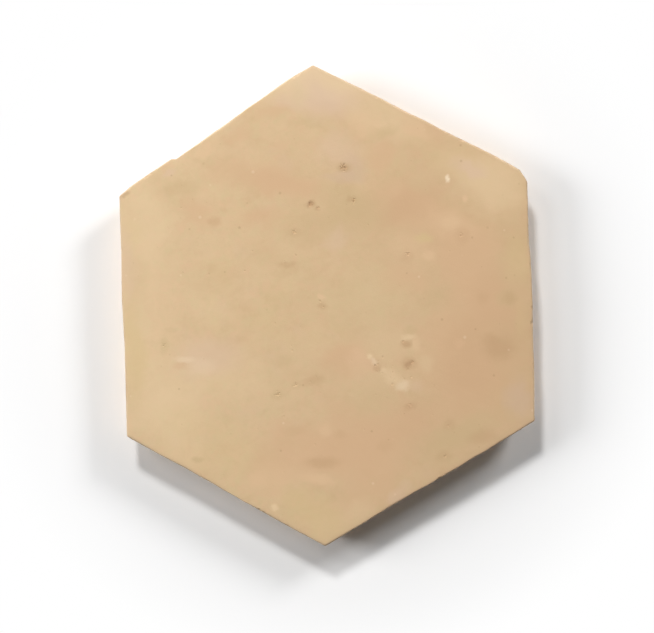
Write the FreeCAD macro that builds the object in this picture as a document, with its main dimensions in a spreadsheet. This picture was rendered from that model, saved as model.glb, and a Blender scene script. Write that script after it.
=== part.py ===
# Hexagonal floor tile of unglazed fired clay, cut by hand: one solid piece, in millimetres.
# The tile lies on its bed with its face up (+Z). The origin is the middle of its outline, on the bed.
# The face falls slightly towards its corners and has a worn arris. Under a narrow upright band the sides
# are hammered back to a smaller bed, each by its own amount, so that tiles can be set close together.
import FreeCAD, Part
import math
import os
import Sketcher

Constraint = Sketcher.Constraint
Vector = FreeCAD.Vector

# The six corners, clockwise from the top, and the side that follows each of them.
CORNERS = ["north", "north_east", "south_east", "south", "south_west", "north_west"]
SIDES = ["upper_right", "right", "lower_right", "lower_left", "left", "upper_left"]
KNOCKED_CORNER = "north_east"
FLAKED_SIDE = "upper_left"

# In degrees: where the first corner lies, and the turn from one corner of a true hexagon to the next.
FIRST_BEARING = 90
CORNER_TURN = 60

# Driving dimensions: name, value and what it is.
SIZES = [
    ("across_flats", 130.0, "nominal distance between opposite sides of the face"),
    ("thickness", 13.0, "bed to the middle of the face"),
    ("crown_fall", 0.8, "how much lower the face is at its corners than in its middle"),
    ("edge_band", 3.0, "height of the upright band under the face"),
    ("band_set_back", 0.25, "how far the band leans in at its foot"),
    ("corner_round", 1.0, "radius of the worn upright corners"),
    ("knocked_corner", 2.6, "length that the knocked-off corner lost along each side"),
    ("arris_wear", 0.5, "height that the worn edge round the face lost, at the face's lowest point"),
    ("bed_break", 0.8, "height and depth of the broken edge round the bed"),
    ("flake_start", 20.0, "where the long flake begins, from the side's first corner"),
    ("flake_length", 28.0, "length of the long flake along the side"),
    ("flake_step", 1.6, "length of the steep wall at the flake's beginning"),
    ("flake_inset", 0.9, "how far the flake reaches into the face"),
    ("flake_drop", 3.5, "how far the flake runs down below the upright band"),
    ("chip_depth", 0.6, "depth of a chip, below the face's lowest point"),
    ("chip_lean", 25.0, "lean of a chip's wall from the upright, in degrees"),
    ("cut_margin", 4.0, "how far a cutting profile runs past the clay"),
    # How far each hand-cut corner lies from the corner of a true hexagon, to the right and up.
    ("north_slip_x", -1.7, "top corner, to the right"),
    ("north_slip_y", 0.6, "top corner, up"),
    ("north_east_slip_x", -0.6, "upper right corner, to the right"),
    ("north_east_slip_y", 1.5, "upper right corner, up"),
    ("south_east_slip_x", -1.1, "lower right corner, to the right"),
    ("south_east_slip_y", -1.2, "lower right corner, up"),
    ("south_slip_x", -3.3, "bottom corner, to the right"),
    ("south_slip_y", -0.6, "bottom corner, up"),
    ("south_west_slip_x", 0.6, "lower left corner, to the right"),
    ("south_west_slip_y", -1.4, "lower left corner, up"),
    ("north_west_slip_x", 1.0, "upper left corner, to the right"),
    ("north_west_slip_y", -0.7, "upper left corner, up"),
    # How far the foot of each side lies in from the edge of the face.
    ("upper_right_undercut", 2.2, "undercut of the upper right side"),
    ("right_undercut", 2.8, "undercut of the right side"),
    ("lower_right_undercut", 1.9, "undercut of the lower right side"),
    ("lower_left_undercut", 2.5, "undercut of the lower left side"),
    ("left_undercut", 2.0, "undercut of the left side"),
    ("upper_left_undercut", 2.9, "undercut of the upper left side"),
]

# The middle of the face to a corner of the true hexagon, and the radius of a face that falls by crown_fall
# on that way.
CORNER_REACH = "sizes.across_flats / sqrt(3)"
DOME_RADIUS = "(sizes.across_flats ^ 2 / 3 + sizes.crown_fall ^ 2) / (2 * sizes.crown_fall)"

# Chips in the face's edge: the side, the chip's name, the way along from the side's first corner, and the
# radius at the top of the cut.
CHIPS = [
    ("upper_right", "apex_chip", 7.0, 1.3),
    ("upper_right", "shoulder_chip", 52.0, 1.2),
    ("right", "right_chip", 47.0, 1.2),
    ("lower_right", "low_chip", 31.0, 1.1),
    ("lower_left", "foot_chip", 24.0, 1.1),
    ("lower_left", "heel_chip", 58.0, 1.4),
    ("left", "left_chip", 40.0, 1.1),
    ("upper_left", "notch", 22.0, 1.8),
    ("upper_left", "nick", 39.0, 1.2),
]


def make_sheet(doc):
    """The spreadsheet with every driving dimension under its own alias."""
    sheet = doc.addObject("Spreadsheet::Sheet", "sizes")
    rows = list(SIZES)
    for side, chip, along, radius in CHIPS:
        rows.append((chip + "_along", along, f"way along the {side} side to this chip"))
        rows.append((chip + "_radius", radius, "radius of this chip at the top of its cut"))
    for number, (alias, value, meaning) in enumerate(rows, start=1):
        sheet.set(f"A{number}", alias)
        sheet.set(f"B{number}", str(value))
        sheet.set(f"C{number}", meaning)
        sheet.setAlias(f"B{number}", alias)
    doc.recompute()
    return sheet


def corner_reach(sheet):
    """The value of CORNER_REACH, for where a sketch's lines start before its constraints take over."""
    return sheet.across_flats / math.sqrt(3)


def dome_radius(sheet):
    """The value of DOME_RADIUS, for the same use."""
    return (corner_reach(sheet) ** 2 + sheet.crown_fall ** 2) / (2 * sheet.crown_fall)


def new_sketch(body, name, role, height=None):
    """An empty sketch on one of the body's own origin planes, raised by an expression if one is given."""
    sketch = body.newObject("Sketcher::SketchObject", name)
    plane = next(feature for feature in body.Origin.OriginFeatures if feature.Role == role)
    sketch.AttachmentSupport = [(plane, "")]
    sketch.MapMode = "FlatFace"
    if height:
        sketch.setExpression("AttachmentOffset.Base.z", height)
    return sketch


def bind(sketch, constraint, name, expression):
    """Adds a constraint under a name and ties its size to the spreadsheet."""
    index = sketch.addConstraint(constraint)
    sketch.renameConstraint(index, name)
    sketch.setExpression("Constraints." + name, expression)


def draw_guide_lines(sketch, points):
    """A closed run of construction lines through the points."""
    count = len(points)
    guides = []
    for number in range(count):
        line = Part.LineSegment(points[number], points[(number + 1) % count])
        guides.append(sketch.addGeometry(line, True))
    for number in range(count):
        sketch.addConstraint(Constraint("Coincident", guides[number - 1], 2, guides[number], 1))
    return guides


def draw_face_hexagon(sketch, sheet):
    """Guide lines along the sides of the face. Each corner lies at its nominal place plus its slip."""
    points = []
    for number, corner in enumerate(CORNERS):
        bearing = math.radians(FIRST_BEARING - CORNER_TURN * number)
        x = corner_reach(sheet) * math.cos(bearing) + sheet.get(corner + "_slip_x")
        y = corner_reach(sheet) * math.sin(bearing) + sheet.get(corner + "_slip_y")
        points.append(Vector(x, y, 0))
    guides = draw_guide_lines(sketch, points)
    for number, corner in enumerate(CORNERS):
        bearing = FIRST_BEARING - CORNER_TURN * number
        x_size = Constraint("DistanceX", -1, 1, guides[number], 1, points[number].x)
        y_size = Constraint("DistanceY", -1, 1, guides[number], 1, points[number].y)
        bind(sketch, x_size, corner + "_x", f"{CORNER_REACH} * cos({bearing} deg) + sizes.{corner}_slip_x")
        bind(sketch, y_size, corner + "_y", f"{CORNER_REACH} * sin({bearing} deg) + sizes.{corner}_slip_y")
    return guides, points


def draw_inset_hexagon(sketch, sheet, face_guides, face_points, insets):
    """Guide lines parallel to the face's sides, each set in by the sum of the sizes named for it."""
    values = [sum(sheet.get(name) for name in names) for names in insets]
    shrink = 1 - 2 * max(values) / sheet.across_flats
    points = [point * shrink for point in face_points]
    guides = draw_guide_lines(sketch, points)
    for number, side in enumerate(SIDES):
        sketch.addConstraint(Constraint("Parallel", guides[number], face_guides[number]))
        inset = Constraint("Distance", guides[number], 1, face_guides[number], values[number])
        total = " + ".join("sizes." + name for name in insets[number])
        bind(sketch, inset, side + "_inset", total)
    return guides, points


def knock_corner(sketch, sheet, guides, points):
    """Puts one more guide line across the knocked-off corner, and two points in the corner's place."""
    place = CORNERS.index(KNOCKED_CORNER)
    before = guides[place - 1]
    after = guides[place]
    corner = points[place]
    entry = corner + (points[place - 1] - corner).normalize() * sheet.knocked_corner
    leave = corner + (points[place + 1] - corner).normalize() * sheet.knocked_corner
    flat = sketch.addGeometry(Part.LineSegment(entry, leave), True)
    sketch.addConstraint(Constraint("PointOnObject", flat, 1, before))
    sketch.addConstraint(Constraint("PointOnObject", flat, 2, after))
    entry_loss = Constraint("Distance", flat, 1, after, 1, sheet.knocked_corner)
    leave_loss = Constraint("Distance", flat, 2, after, 1, sheet.knocked_corner)
    bind(sketch, entry_loss, "entry_loss", "sizes.knocked_corner")
    bind(sketch, leave_loss, "leave_loss", "sizes.knocked_corner")
    guides = guides[:place] + [flat] + guides[place:]
    points = points[:place] + [entry, leave] + points[place + 1:]
    return guides, points


def draw_outline(sketch, sheet, guides, points):
    """The clay's outline: a line along each guide line, and worn corners but for the knocked-off one."""
    count = len(points)
    radius = sheet.corner_round
    knocked = CORNERS.index(KNOCKED_CORNER)
    sharp = [knocked, knocked + 1]
    ways = [(points[(number + 1) % count] - points[number]).normalize() for number in range(count)]
    turns = [ways[number - 1].getAngle(ways[number]) for number in range(count)]
    cut_backs = [0 if number in sharp else radius * math.tan(turns[number] / 2) for number in range(count)]
    starts = [points[number] + ways[number] * cut_backs[number] for number in range(count)]
    ends = [points[number] - ways[number - 1] * cut_backs[number] for number in range(count)]
    lines = []
    for number in range(count):
        line = sketch.addGeometry(Part.LineSegment(starts[number], ends[(number + 1) % count]), False)
        sketch.addConstraint(Constraint("PointOnObject", line, 1, guides[number]))
        sketch.addConstraint(Constraint("PointOnObject", line, 2, guides[number]))
        lines.append(line)
    for number in range(count):
        if number in sharp:
            sketch.addConstraint(Constraint("Coincident", lines[number - 1], 2, lines[number], 1))
            continue
        # The outline runs clockwise, so the clay lies to the right of each line.
        inward = Vector(ways[number].y, -ways[number].x, 0)
        centre = starts[number] + inward * radius
        leave = starts[number] - centre
        leave_angle = math.atan2(leave.y, leave.x)
        circle = Part.Circle(centre, Vector(0, 0, 1), radius)
        arc = sketch.addGeometry(Part.ArcOfCircle(circle, leave_angle, leave_angle + turns[number]), False)
        sketch.addConstraint(Constraint("Tangent", lines[number - 1], 2, arc, 2))
        sketch.addConstraint(Constraint("Tangent", lines[number], 1, arc, 1))
        bind(sketch, Constraint("Radius", arc, radius), f"round_{number}", "sizes.corner_round")


def make_section(body, sheet, name, height, insets=None):
    """One level outline of the clay: the face's own, or one set in from it side by side."""
    sketch = new_sketch(body, name, "XY_Plane", height)
    guides, points = draw_face_hexagon(sketch, sheet)
    if insets:
        guides, points = draw_inset_hexagon(sketch, sheet, guides, points, insets)
    guides, points = knock_corner(sketch, sheet, guides, points)
    draw_outline(sketch, sheet, guides, points)
    return sketch


def make_blank(body, sheet):
    """The hand-cut clay with a flat top: worn arris, upright band, hammered sides and broken bed edge."""
    # The worn arris slopes at 45 degrees, and runs on a little above the face that is cut out of it later.
    crest_height = "sizes.thickness + sizes.arris_wear"
    edge_height = "sizes.thickness - sizes.crown_fall - sizes.arris_wear"
    waist_height = edge_height + " - sizes.edge_band"
    crest_insets = [["crown_fall", "arris_wear", "arris_wear"] for side in SIDES]
    waist_insets = [["band_set_back"] for side in SIDES]
    foot_insets = [[side + "_undercut"] for side in SIDES]
    bed_insets = [[side + "_undercut", "bed_break"] for side in SIDES]
    crest = make_section(body, sheet, "crest_outline", crest_height, crest_insets)
    edge = make_section(body, sheet, "edge_outline", edge_height)
    waist = make_section(body, sheet, "waist_outline", waist_height, waist_insets)
    foot = make_section(body, sheet, "foot_outline", "sizes.bed_break", foot_insets)
    bed = make_section(body, sheet, "bed_outline", None, bed_insets)
    body.Document.recompute()
    blank = body.newObject("PartDesign::AdditiveLoft", "hand_cut_blank")
    blank.Profile = crest
    blank.Sections = [edge, waist, foot, bed]
    blank.Ruled = True
    return blank


def draw_crown_profile(sketch, sheet):
    """What the crown leaves over: everything above an arc round the sketch's own origin."""
    radius = dome_radius(sheet)
    reach = corner_reach(sheet) + sheet.cut_margin
    rim_height = math.sqrt(radius ** 2 - reach ** 2)
    clear_height = radius + sheet.cut_margin
    rim_angle = math.acos(reach / radius)
    circle = Part.Circle(Vector(0, 0, 0), Vector(0, 0, 1), radius)
    right_rim = Vector(reach, rim_height, 0)
    right_top = Vector(reach, clear_height, 0)
    left_top = Vector(-reach, clear_height, 0)
    left_rim = Vector(-reach, rim_height, 0)
    dome = sketch.addGeometry(Part.ArcOfCircle(circle, rim_angle, math.pi - rim_angle), False)
    right = sketch.addGeometry(Part.LineSegment(right_rim, right_top), False)
    top = sketch.addGeometry(Part.LineSegment(right_top, left_top), False)
    left = sketch.addGeometry(Part.LineSegment(left_top, left_rim), False)
    sketch.addConstraint(Constraint("Coincident", dome, 3, -1, 1))
    sketch.addConstraint(Constraint("Coincident", dome, 1, right, 1))
    sketch.addConstraint(Constraint("Coincident", right, 2, top, 1))
    sketch.addConstraint(Constraint("Coincident", top, 2, left, 1))
    sketch.addConstraint(Constraint("Coincident", left, 2, dome, 2))
    sketch.addConstraint(Constraint("Vertical", right))
    sketch.addConstraint(Constraint("Vertical", left))
    sketch.addConstraint(Constraint("Horizontal", top))
    reach_size = CORNER_REACH + " + sizes.cut_margin"
    clear_size = Constraint("DistanceY", -1, 1, top, 1, clear_height)
    bind(sketch, Constraint("Radius", dome, radius), "dome_radius", DOME_RADIUS)
    bind(sketch, Constraint("DistanceX", -1, 1, right, 1, reach), "right_reach", reach_size)
    bind(sketch, Constraint("DistanceX", left, 2, -1, 1, reach), "left_reach", reach_size)
    bind(sketch, clear_size, "clear_height", DOME_RADIUS + " + sizes.cut_margin")


def crown_face(body, sheet):
    """Makes the flat top part of a sphere: the profile swings about the level line through its centre."""
    profile = new_sketch(body, "crown_profile", "XZ_Plane")
    profile.setExpression("AttachmentOffset.Base.y", f"sizes.thickness - {DOME_RADIUS}")
    draw_crown_profile(profile, sheet)
    body.Document.recompute()
    crown = body.newObject("PartDesign::Groove", "crowned_face")
    crown.Profile = profile
    crown.ReferenceAxis = (profile, ["H_Axis"])
    crown.Midplane = True
    crown.setExpression("Angle", f"2 * asin(({CORNER_REACH} + sizes.cut_margin) / ({DOME_RADIUS}))")
    body.Document.recompute()
    return crown


def draw_flake(sketch, sheet, side_guide, start, end):
    """A steep step in from the side and a long slow way back out to it, closed well outside the clay."""
    along = (end - start).normalize()
    outward = Vector(-along.y, along.x, 0)
    run = math.sqrt(sheet.flake_step ** 2 - sheet.flake_inset ** 2)
    step_top = start + along * sheet.flake_start
    step_foot = step_top + along * run - outward * sheet.flake_inset
    way_out = start + along * (sheet.flake_start + sheet.flake_length)
    clear_end = way_out + outward * sheet.cut_margin
    clear_start = step_top + outward * sheet.cut_margin
    corners = [step_top, step_foot, way_out, clear_end, clear_start]
    lines = []
    for number, corner in enumerate(corners):
        line = Part.LineSegment(corner, corners[(number + 1) % len(corners)])
        lines.append(sketch.addGeometry(line, False))
    for number in range(len(lines)):
        sketch.addConstraint(Constraint("Coincident", lines[number - 1], 2, lines[number], 1))
    step, slow_way, far_wall, outer, near_wall = lines
    sketch.addConstraint(Constraint("PointOnObject", step, 1, side_guide))
    sketch.addConstraint(Constraint("PointOnObject", slow_way, 2, side_guide))
    sketch.addConstraint(Constraint("Perpendicular", near_wall, side_guide))
    sketch.addConstraint(Constraint("Perpendicular", far_wall, side_guide))
    sketch.addConstraint(Constraint("Parallel", outer, side_guide))
    start_size = Constraint("Distance", side_guide, 1, step, 1, sheet.flake_start)
    length_size = Constraint("Distance", step, 1, slow_way, 2, sheet.flake_length)
    step_size = Constraint("Distance", step, 1, step, 2, sheet.flake_step)
    inset_size = Constraint("Distance", step, 2, side_guide, sheet.flake_inset)
    clear_size = Constraint("Distance", near_wall, 1, near_wall, 2, sheet.cut_margin)
    bind(sketch, start_size, "start", "sizes.flake_start")
    bind(sketch, length_size, "length", "sizes.flake_length")
    bind(sketch, step_size, "step", "sizes.flake_step")
    bind(sketch, inset_size, "inset", "sizes.flake_inset")
    bind(sketch, clear_size, "clear", "sizes.cut_margin")


def cut_flake(body, sheet):
    """The long flake that came off the edge. It runs out through the leaning side below the band."""
    sketch = new_sketch(body, "flake_outline", "XY_Plane", "sizes.thickness")
    guides, points = draw_face_hexagon(sketch, sheet)
    number = SIDES.index(FLAKED_SIDE)
    draw_flake(sketch, sheet, guides[number], points[number], points[(number + 1) % len(points)])
    body.Document.recompute()
    flake = body.newObject("PartDesign::Pocket", "long_flake")
    flake.Profile = sketch
    flake.Type = "Length"
    flake.setExpression("Length", "sizes.crown_fall + sizes.edge_band + sizes.flake_drop")
    body.Document.recompute()
    return flake


def cut_chips(body, sheet):
    """Small bites with leaning walls, each centred on a side of the face."""
    sketch = new_sketch(body, "chip_bites", "XY_Plane", "sizes.thickness")
    guides, points = draw_face_hexagon(sketch, sheet)
    for side, chip, along, radius in CHIPS:
        number = SIDES.index(side)
        start = points[number]
        end = points[(number + 1) % len(points)]
        centre = start + (end - start).normalize() * along
        bite = sketch.addGeometry(Part.Circle(centre, Vector(0, 0, 1), radius), False)
        sketch.addConstraint(Constraint("PointOnObject", bite, 3, guides[number]))
        way = Constraint("Distance", guides[number], 1, bite, 3, along)
        bind(sketch, way, chip + "_along", f"sizes.{chip}_along")
        bind(sketch, Constraint("Radius", bite, radius), chip + "_radius", f"sizes.{chip}_radius")
    body.Document.recompute()
    chips = body.newObject("PartDesign::Pocket", "edge_chips")
    chips.Profile = sketch
    chips.Type = "Length"
    chips.setExpression("Length", "sizes.crown_fall + sizes.chip_depth")
    chips.setExpression("TaperAngle", "-1 * sizes.chip_lean")
    body.Document.recompute()
    return chips


def check(doc, body, stages):
    """Stops if any object failed, the solid is not one valid closed piece, or a cut took nothing away."""
    for item in doc.Objects:
        if "Invalid" in item.State or "Error" in item.State:
            raise RuntimeError(f"{item.Name} failed: {item.State}")
    for earlier, later in zip(stages, stages[1:]):
        if later.Shape.Volume >= earlier.Shape.Volume:
            raise RuntimeError(f"{later.Name} removed no clay")
    if body.Shape.isNull() or not body.Shape.isValid() or len(body.Shape.Solids) != 1:
        raise RuntimeError("the tile is not one valid solid")


def main():
    """Builds the tile and writes its solid to parts/tile.step."""
    doc = FreeCAD.newDocument("hexagon_floor_tile")
    sheet = make_sheet(doc)
    body = doc.addObject("PartDesign::Body", "tile")
    body.Label = "tile"
    blank = make_blank(body, sheet)
    doc.recompute()
    crown = crown_face(body, sheet)
    flake = cut_flake(body, sheet)
    chips = cut_chips(body, sheet)
    doc.recompute()
    check(doc, body, [blank, crown, flake, chips])
    box = body.Shape.BoundBox
    print(f"tile: {box.XLength:.2f} x {box.YLength:.2f} x {box.ZLength:.2f} mm, "
          f"{body.Shape.Volume / 1000:.1f} cm3, {len(body.Shape.Faces)} faces")
    os.makedirs("parts", exist_ok=True)
    body.Shape.exportStep("parts/" + body.Label + ".step")


main()
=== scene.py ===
"""Looks of a hexagonal floor tile: one piece of unglazed buff clay, cut by hand, fired and lying face up.

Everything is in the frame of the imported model: metres, +Z up, the bed on the floor at z = 0, and the origin
in the middle of the outline. The classes give their sizes in millimetres and degrees, as a tile maker would.
"""

import logging
import math
import random
from collections.abc import Sequence
from dataclasses import dataclass, field
from enum import Enum

import bmesh
import bpy
import numpy as np
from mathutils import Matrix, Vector, noise


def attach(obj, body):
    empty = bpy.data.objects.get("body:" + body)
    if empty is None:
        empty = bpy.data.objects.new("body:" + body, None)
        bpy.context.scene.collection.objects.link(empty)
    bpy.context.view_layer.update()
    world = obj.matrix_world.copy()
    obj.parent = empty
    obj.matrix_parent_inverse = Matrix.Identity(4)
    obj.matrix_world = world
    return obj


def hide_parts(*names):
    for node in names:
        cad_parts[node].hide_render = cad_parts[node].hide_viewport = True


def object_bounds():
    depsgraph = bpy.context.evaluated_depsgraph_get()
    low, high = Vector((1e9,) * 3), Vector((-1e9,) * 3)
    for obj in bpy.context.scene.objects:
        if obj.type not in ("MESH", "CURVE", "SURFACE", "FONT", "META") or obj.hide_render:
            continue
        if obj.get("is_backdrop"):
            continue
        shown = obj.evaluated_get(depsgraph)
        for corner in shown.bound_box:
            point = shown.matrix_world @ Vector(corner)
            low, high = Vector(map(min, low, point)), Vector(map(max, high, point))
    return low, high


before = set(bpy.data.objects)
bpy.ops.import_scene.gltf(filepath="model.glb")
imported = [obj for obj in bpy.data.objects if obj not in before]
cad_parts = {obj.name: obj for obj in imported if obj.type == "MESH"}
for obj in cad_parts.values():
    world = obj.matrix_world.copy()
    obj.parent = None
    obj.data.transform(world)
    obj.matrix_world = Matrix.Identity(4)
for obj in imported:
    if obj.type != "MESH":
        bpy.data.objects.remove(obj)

MM = 0.001
PHOTO_WIDTH = 654
PHOTO_HEIGHT = 633
WHITE = (1.0, 1.0, 1.0, 1.0)
UP = (0.0, 0.0, 1.0)
log = logging.getLogger("floor_tile")

Feed = bpy.types.NodeSocket | float | int | Sequence[float] | bpy.types.Object | bpy.types.Material


class Side(Enum):
    """The tile's six sides, clockwise as seen from above. Each starts at the corner of the same number."""

    UPPER_RIGHT = 0
    RIGHT = 1
    LOWER_RIGHT = 2
    LOWER_LEFT = 3
    LEFT = 4
    UPPER_LEFT = 5


class Share(Enum):
    """Attributes from 0 to 1 that the clay's points carry, for its relief and its colours."""

    LIFT = "lift_share"
    SIDE = "side_share"
    BED = "bed_share"
    ARRIS = "arris_share"
    PIT = "pit_share"
    BREAK = "break_share"


# The attribute with the radius of a ball that carves a pit or a chip.
REACH = "reach"

# The curve from display values to light: a straight toe, and a power above it.
DISPLAY_FULL = 255
TOE_END = 0.04045
TOE_SLOPE = 12.92
CURVE_OFFSET = 0.055
CURVE_POWER = 2.4


def linear_channel(value: float) -> float:
    """Turns one channel's display value, 0 to 255, into the light that it stands for, 0 to 1."""
    share = value / DISPLAY_FULL
    if share <= TOE_END:
        return share / TOE_SLOPE
    return ((share + CURVE_OFFSET) / (1 + CURVE_OFFSET)) ** CURVE_POWER


def linear_colour(red: float, green: float, blue: float) -> tuple[float, float, float, float]:
    """Turns a display colour, 0 to 255, into the scene-linear one that a shader takes."""
    return linear_channel(red), linear_channel(green), linear_channel(blue), 1.0


class Tint(Enum):
    """The clay's colours, as they are seen in plain light. TAN also paints shade across the face, BROWN and
    IRON paint the shade in the pits, and CREAM paints part of the light down the left side.
    """

    BUFF = linear_colour(219, 190, 150)
    STRAW = linear_colour(214, 188, 139)
    ROSE = linear_colour(213, 176, 138)
    RUSSET = linear_colour(202, 165, 127)
    PEACH = linear_colour(224, 190, 151)
    LILAC = linear_colour(219, 188, 158)
    OLIVE = linear_colour(203, 175, 133)
    BROWN = linear_colour(186, 148, 110)
    TAN = linear_colour(200, 165, 126)
    CREAM = linear_colour(229, 201, 161)
    LIME = linear_colour(244, 222, 190)
    IRON = linear_colour(150, 110, 76)
    FRESH = linear_colour(208, 174, 135)
    MAUVE = linear_colour(205, 176, 149)
    BLUSH = linear_colour(222, 186, 149)
    SAGE = linear_colour(213, 191, 147)
    DUST = linear_colour(208, 187, 164)


# All soft noise in the node trees has this mean.
NOISE_MIDDLE = 0.5

# Hand work's unevenness: three octaves, each twice as fine and half as strong as the one before.
OCTAVES = 3
LACUNARITY = 2.0
FALL_OFF = 1.0


def unevenness(x: float, y: float, seed: float) -> float:
    """How uneven hand work is at a place: noise about zero, whose broadest swells are about 1 wide."""
    return noise.fractal((x, y, seed), FALL_OFF, LACUNARITY, OCTAVES)


def put_in_scene(name: str, data: bpy.types.ID) -> bpy.types.Object:
    """Makes an object of a mesh, a lamp or a camera, and puts it in the scene."""
    thing = bpy.data.objects.new(name, data)
    bpy.context.scene.collection.objects.link(thing)
    return thing


@dataclass(frozen=True)
class Grain:
    """How a noise in a node tree is drawn.

    Attributes:
        seed: Shifts its pattern, so that like noises differ.
        detail: How many finer octaves go on top.
        roughness: How strong the finer octaves are.
        distortion: How far the pattern swirls.
    """

    seed: float
    detail: float = 2.0
    roughness: float = 0.5
    distortion: float = 0.0


class ClayGrain(Enum):
    """The grains of the clay's relief, its sheen and its bump."""

    BITE = Grain(2.3, detail=3.0)
    UNDULATION = Grain(7.1, detail=1.0)
    RIPPLE = Grain(3.7)
    DRAG = Grain(5.9)
    HAMMER_WARP = Grain(4.4)
    LOST_CRUMB = Grain(8.2, detail=4.0, roughness=0.62)
    BED_HOLLOW = Grain(6.6, detail=5.0, roughness=0.62)
    BED_GRAIN = Grain(9.9, detail=3.0, roughness=0.6)
    SHEEN = Grain(1.9, detail=4.0, roughness=0.6)
    FINE = Grain(14.0, detail=3.0, roughness=0.6)
    BRUSHED = Grain(15.0)
    COARSE = Grain(16.0, detail=4.0, roughness=0.7)


class NodeSheet:
    """Adds nodes to one tree, feeds their sockets and keeps the steps short."""

    def __init__(self, tree: bpy.types.NodeTree) -> None:
        """Empties a shader or geometry node tree, and starts on it."""
        self.tree = tree
        tree.nodes.clear()

    def add(self, kind: str, settings: dict[str, object] | None = None,
            feeds: dict[str, Feed] | None = None) -> bpy.types.Node:
        """Adds one node.

        Args:
            kind: The node's Blender type.
            settings: Properties of the node by name.
            feeds: Values or sockets by the name or identifier of the input that they go into.

        Returns:
            The new node.
        """
        node = self.tree.nodes.new(kind)
        for name, value in (settings or {}).items():
            setattr(node, name, value)
        for name, value in (feeds or {}).items():
            self.feed(self.input(node, name), value)
        return node

    @staticmethod
    def input(node: bpy.types.Node, name: str) -> bpy.types.NodeSocket:
        """Finds an input that is in use by its identifier or, failing that, by its name."""
        for socket in node.inputs:
            if socket.identifier == name:
                return socket
        return next(socket for socket in node.inputs if socket.name == name and socket.enabled)

    @staticmethod
    def output(node: bpy.types.Node, name: str) -> bpy.types.NodeSocket:
        """Finds an output that is in use by its name."""
        return next(socket for socket in node.outputs if socket.name == name and socket.enabled)

    def feed(self, socket: bpy.types.NodeSocket, value: Feed) -> None:
        """Links another node's output into a socket, or sets the socket's own value."""
        if isinstance(value, bpy.types.NodeSocket):
            self.tree.links.new(value, socket)
        else:
            socket.default_value = value

    def maths(self, operation: str, first: Feed, second: Feed = 0.0,
              clamp: bool = False) -> bpy.types.NodeSocket:
        """One arithmetic step.

        Args:
            operation: Blender's name for it, such as "MULTIPLY".
            first: First number.
            second: Second number, where the operation takes one.
            clamp: Whether to hold the result between 0 and 1.

        Returns:
            The socket with the result.
        """
        node = self.add("ShaderNodeMath", {"operation": operation, "use_clamp": clamp})
        self.feed(node.inputs[0], first)
        self.feed(node.inputs[1], second)
        return node.outputs[0]

    def times(self, first: Feed, second: Feed) -> bpy.types.NodeSocket:
        """One number times another."""
        return self.maths("MULTIPLY", first, second)

    def vector(self, operation: str, first: Feed, second: Feed = (0.0, 0.0, 0.0),
               scale: Feed = 1.0) -> bpy.types.Node:
        """One vector step.

        Args:
            operation: Blender's name for it, such as "SUBTRACT".
            first: First vector.
            second: Second vector, where the operation takes one.
            scale: The factor of "SCALE".

        Returns:
            The node, whose outputs are Vector and Value.
        """
        node = self.add("ShaderNodeVectorMath", {"operation": operation})
        self.feed(node.inputs[0], first)
        if operation not in ("SCALE", "LENGTH", "NORMALIZE"):
            self.feed(node.inputs[1], second)
        if operation == "SCALE":
            self.feed(self.input(node, "Scale"), scale)
        return node

    def ramp(self, value: Feed, low: Feed, high: Feed, start: Feed = 0.0,
             end: Feed = 1.0) -> bpy.types.NodeSocket:
        """Maps low..high smoothly onto start..end, and holds the result there.

        Args:
            value: The number to map.
            low: Where the ramp begins.
            high: Where it ends, above low.
            start: Result at low and below.
            end: Result at high and above.

        Returns:
            The socket with the result.
        """
        feeds = {"From Min": low, "From Max": high, "To Min": start, "To Max": end}
        node = self.add("ShaderNodeMapRange", {"interpolation_type": "SMOOTHSTEP", "clamp": False}, feeds)
        self.feed(node.inputs[0], value)
        return node.outputs[0]

    def noise(self, place: Feed, size: Feed, grain: Grain) -> bpy.types.NodeSocket:
        """Soft noise from 0 to 1.

        Args:
            place: Position, in the unit that size is in.
            size: Width of the noise's largest swells.
            grain: How it is drawn.

        Returns:
            The socket with the value.
        """
        shift = (grain.seed, grain.seed * 2, grain.seed * 3)
        feeds = {
            "Vector": self.vector("ADD", place, shift).outputs[0],
            "Scale": 1.0 / size if isinstance(size, float) else self.maths("DIVIDE", 1.0, size),
            "Detail": grain.detail,
            "Roughness": grain.roughness,
            "Distortion": grain.distortion,
        }
        return self.add("ShaderNodeTexNoise", {"noise_dimensions": "3D"}, feeds).outputs[0]

    def swing(self, place: Feed, size: Feed, height: Feed, grain: Grain) -> bpy.types.NodeSocket:
        """Noise that swings about zero, up to roughly height each way."""
        off_middle = self.maths("SUBTRACT", self.noise(place, size, grain), NOISE_MIDDLE)
        centred = self.times(off_middle, 1 / NOISE_MIDDLE)
        return self.times(centred, height)

    def end(self, kind: str, result: bpy.types.NodeSocket) -> None:
        """Ends the tree in an output of this kind."""
        self.feed(self.add(kind).inputs[0], result)

    def total(self, values: Sequence[bpy.types.NodeSocket]) -> bpy.types.NodeSocket:
        """Adds up several sockets."""
        result = values[0]
        for value in values[1:]:
            result = self.maths("ADD", result, value)
        return result

    def blend(self, share: Feed, first: Feed, second: Feed) -> bpy.types.NodeSocket:
        """Mixes two colours: the first at a share of 0, the second at 1."""
        feeds = {"Factor_Float": share, "A_Color": first, "B_Color": second}
        node = self.add("ShaderNodeMix", {"data_type": "RGBA"}, feeds)
        return self.output(node, "Result")

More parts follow.
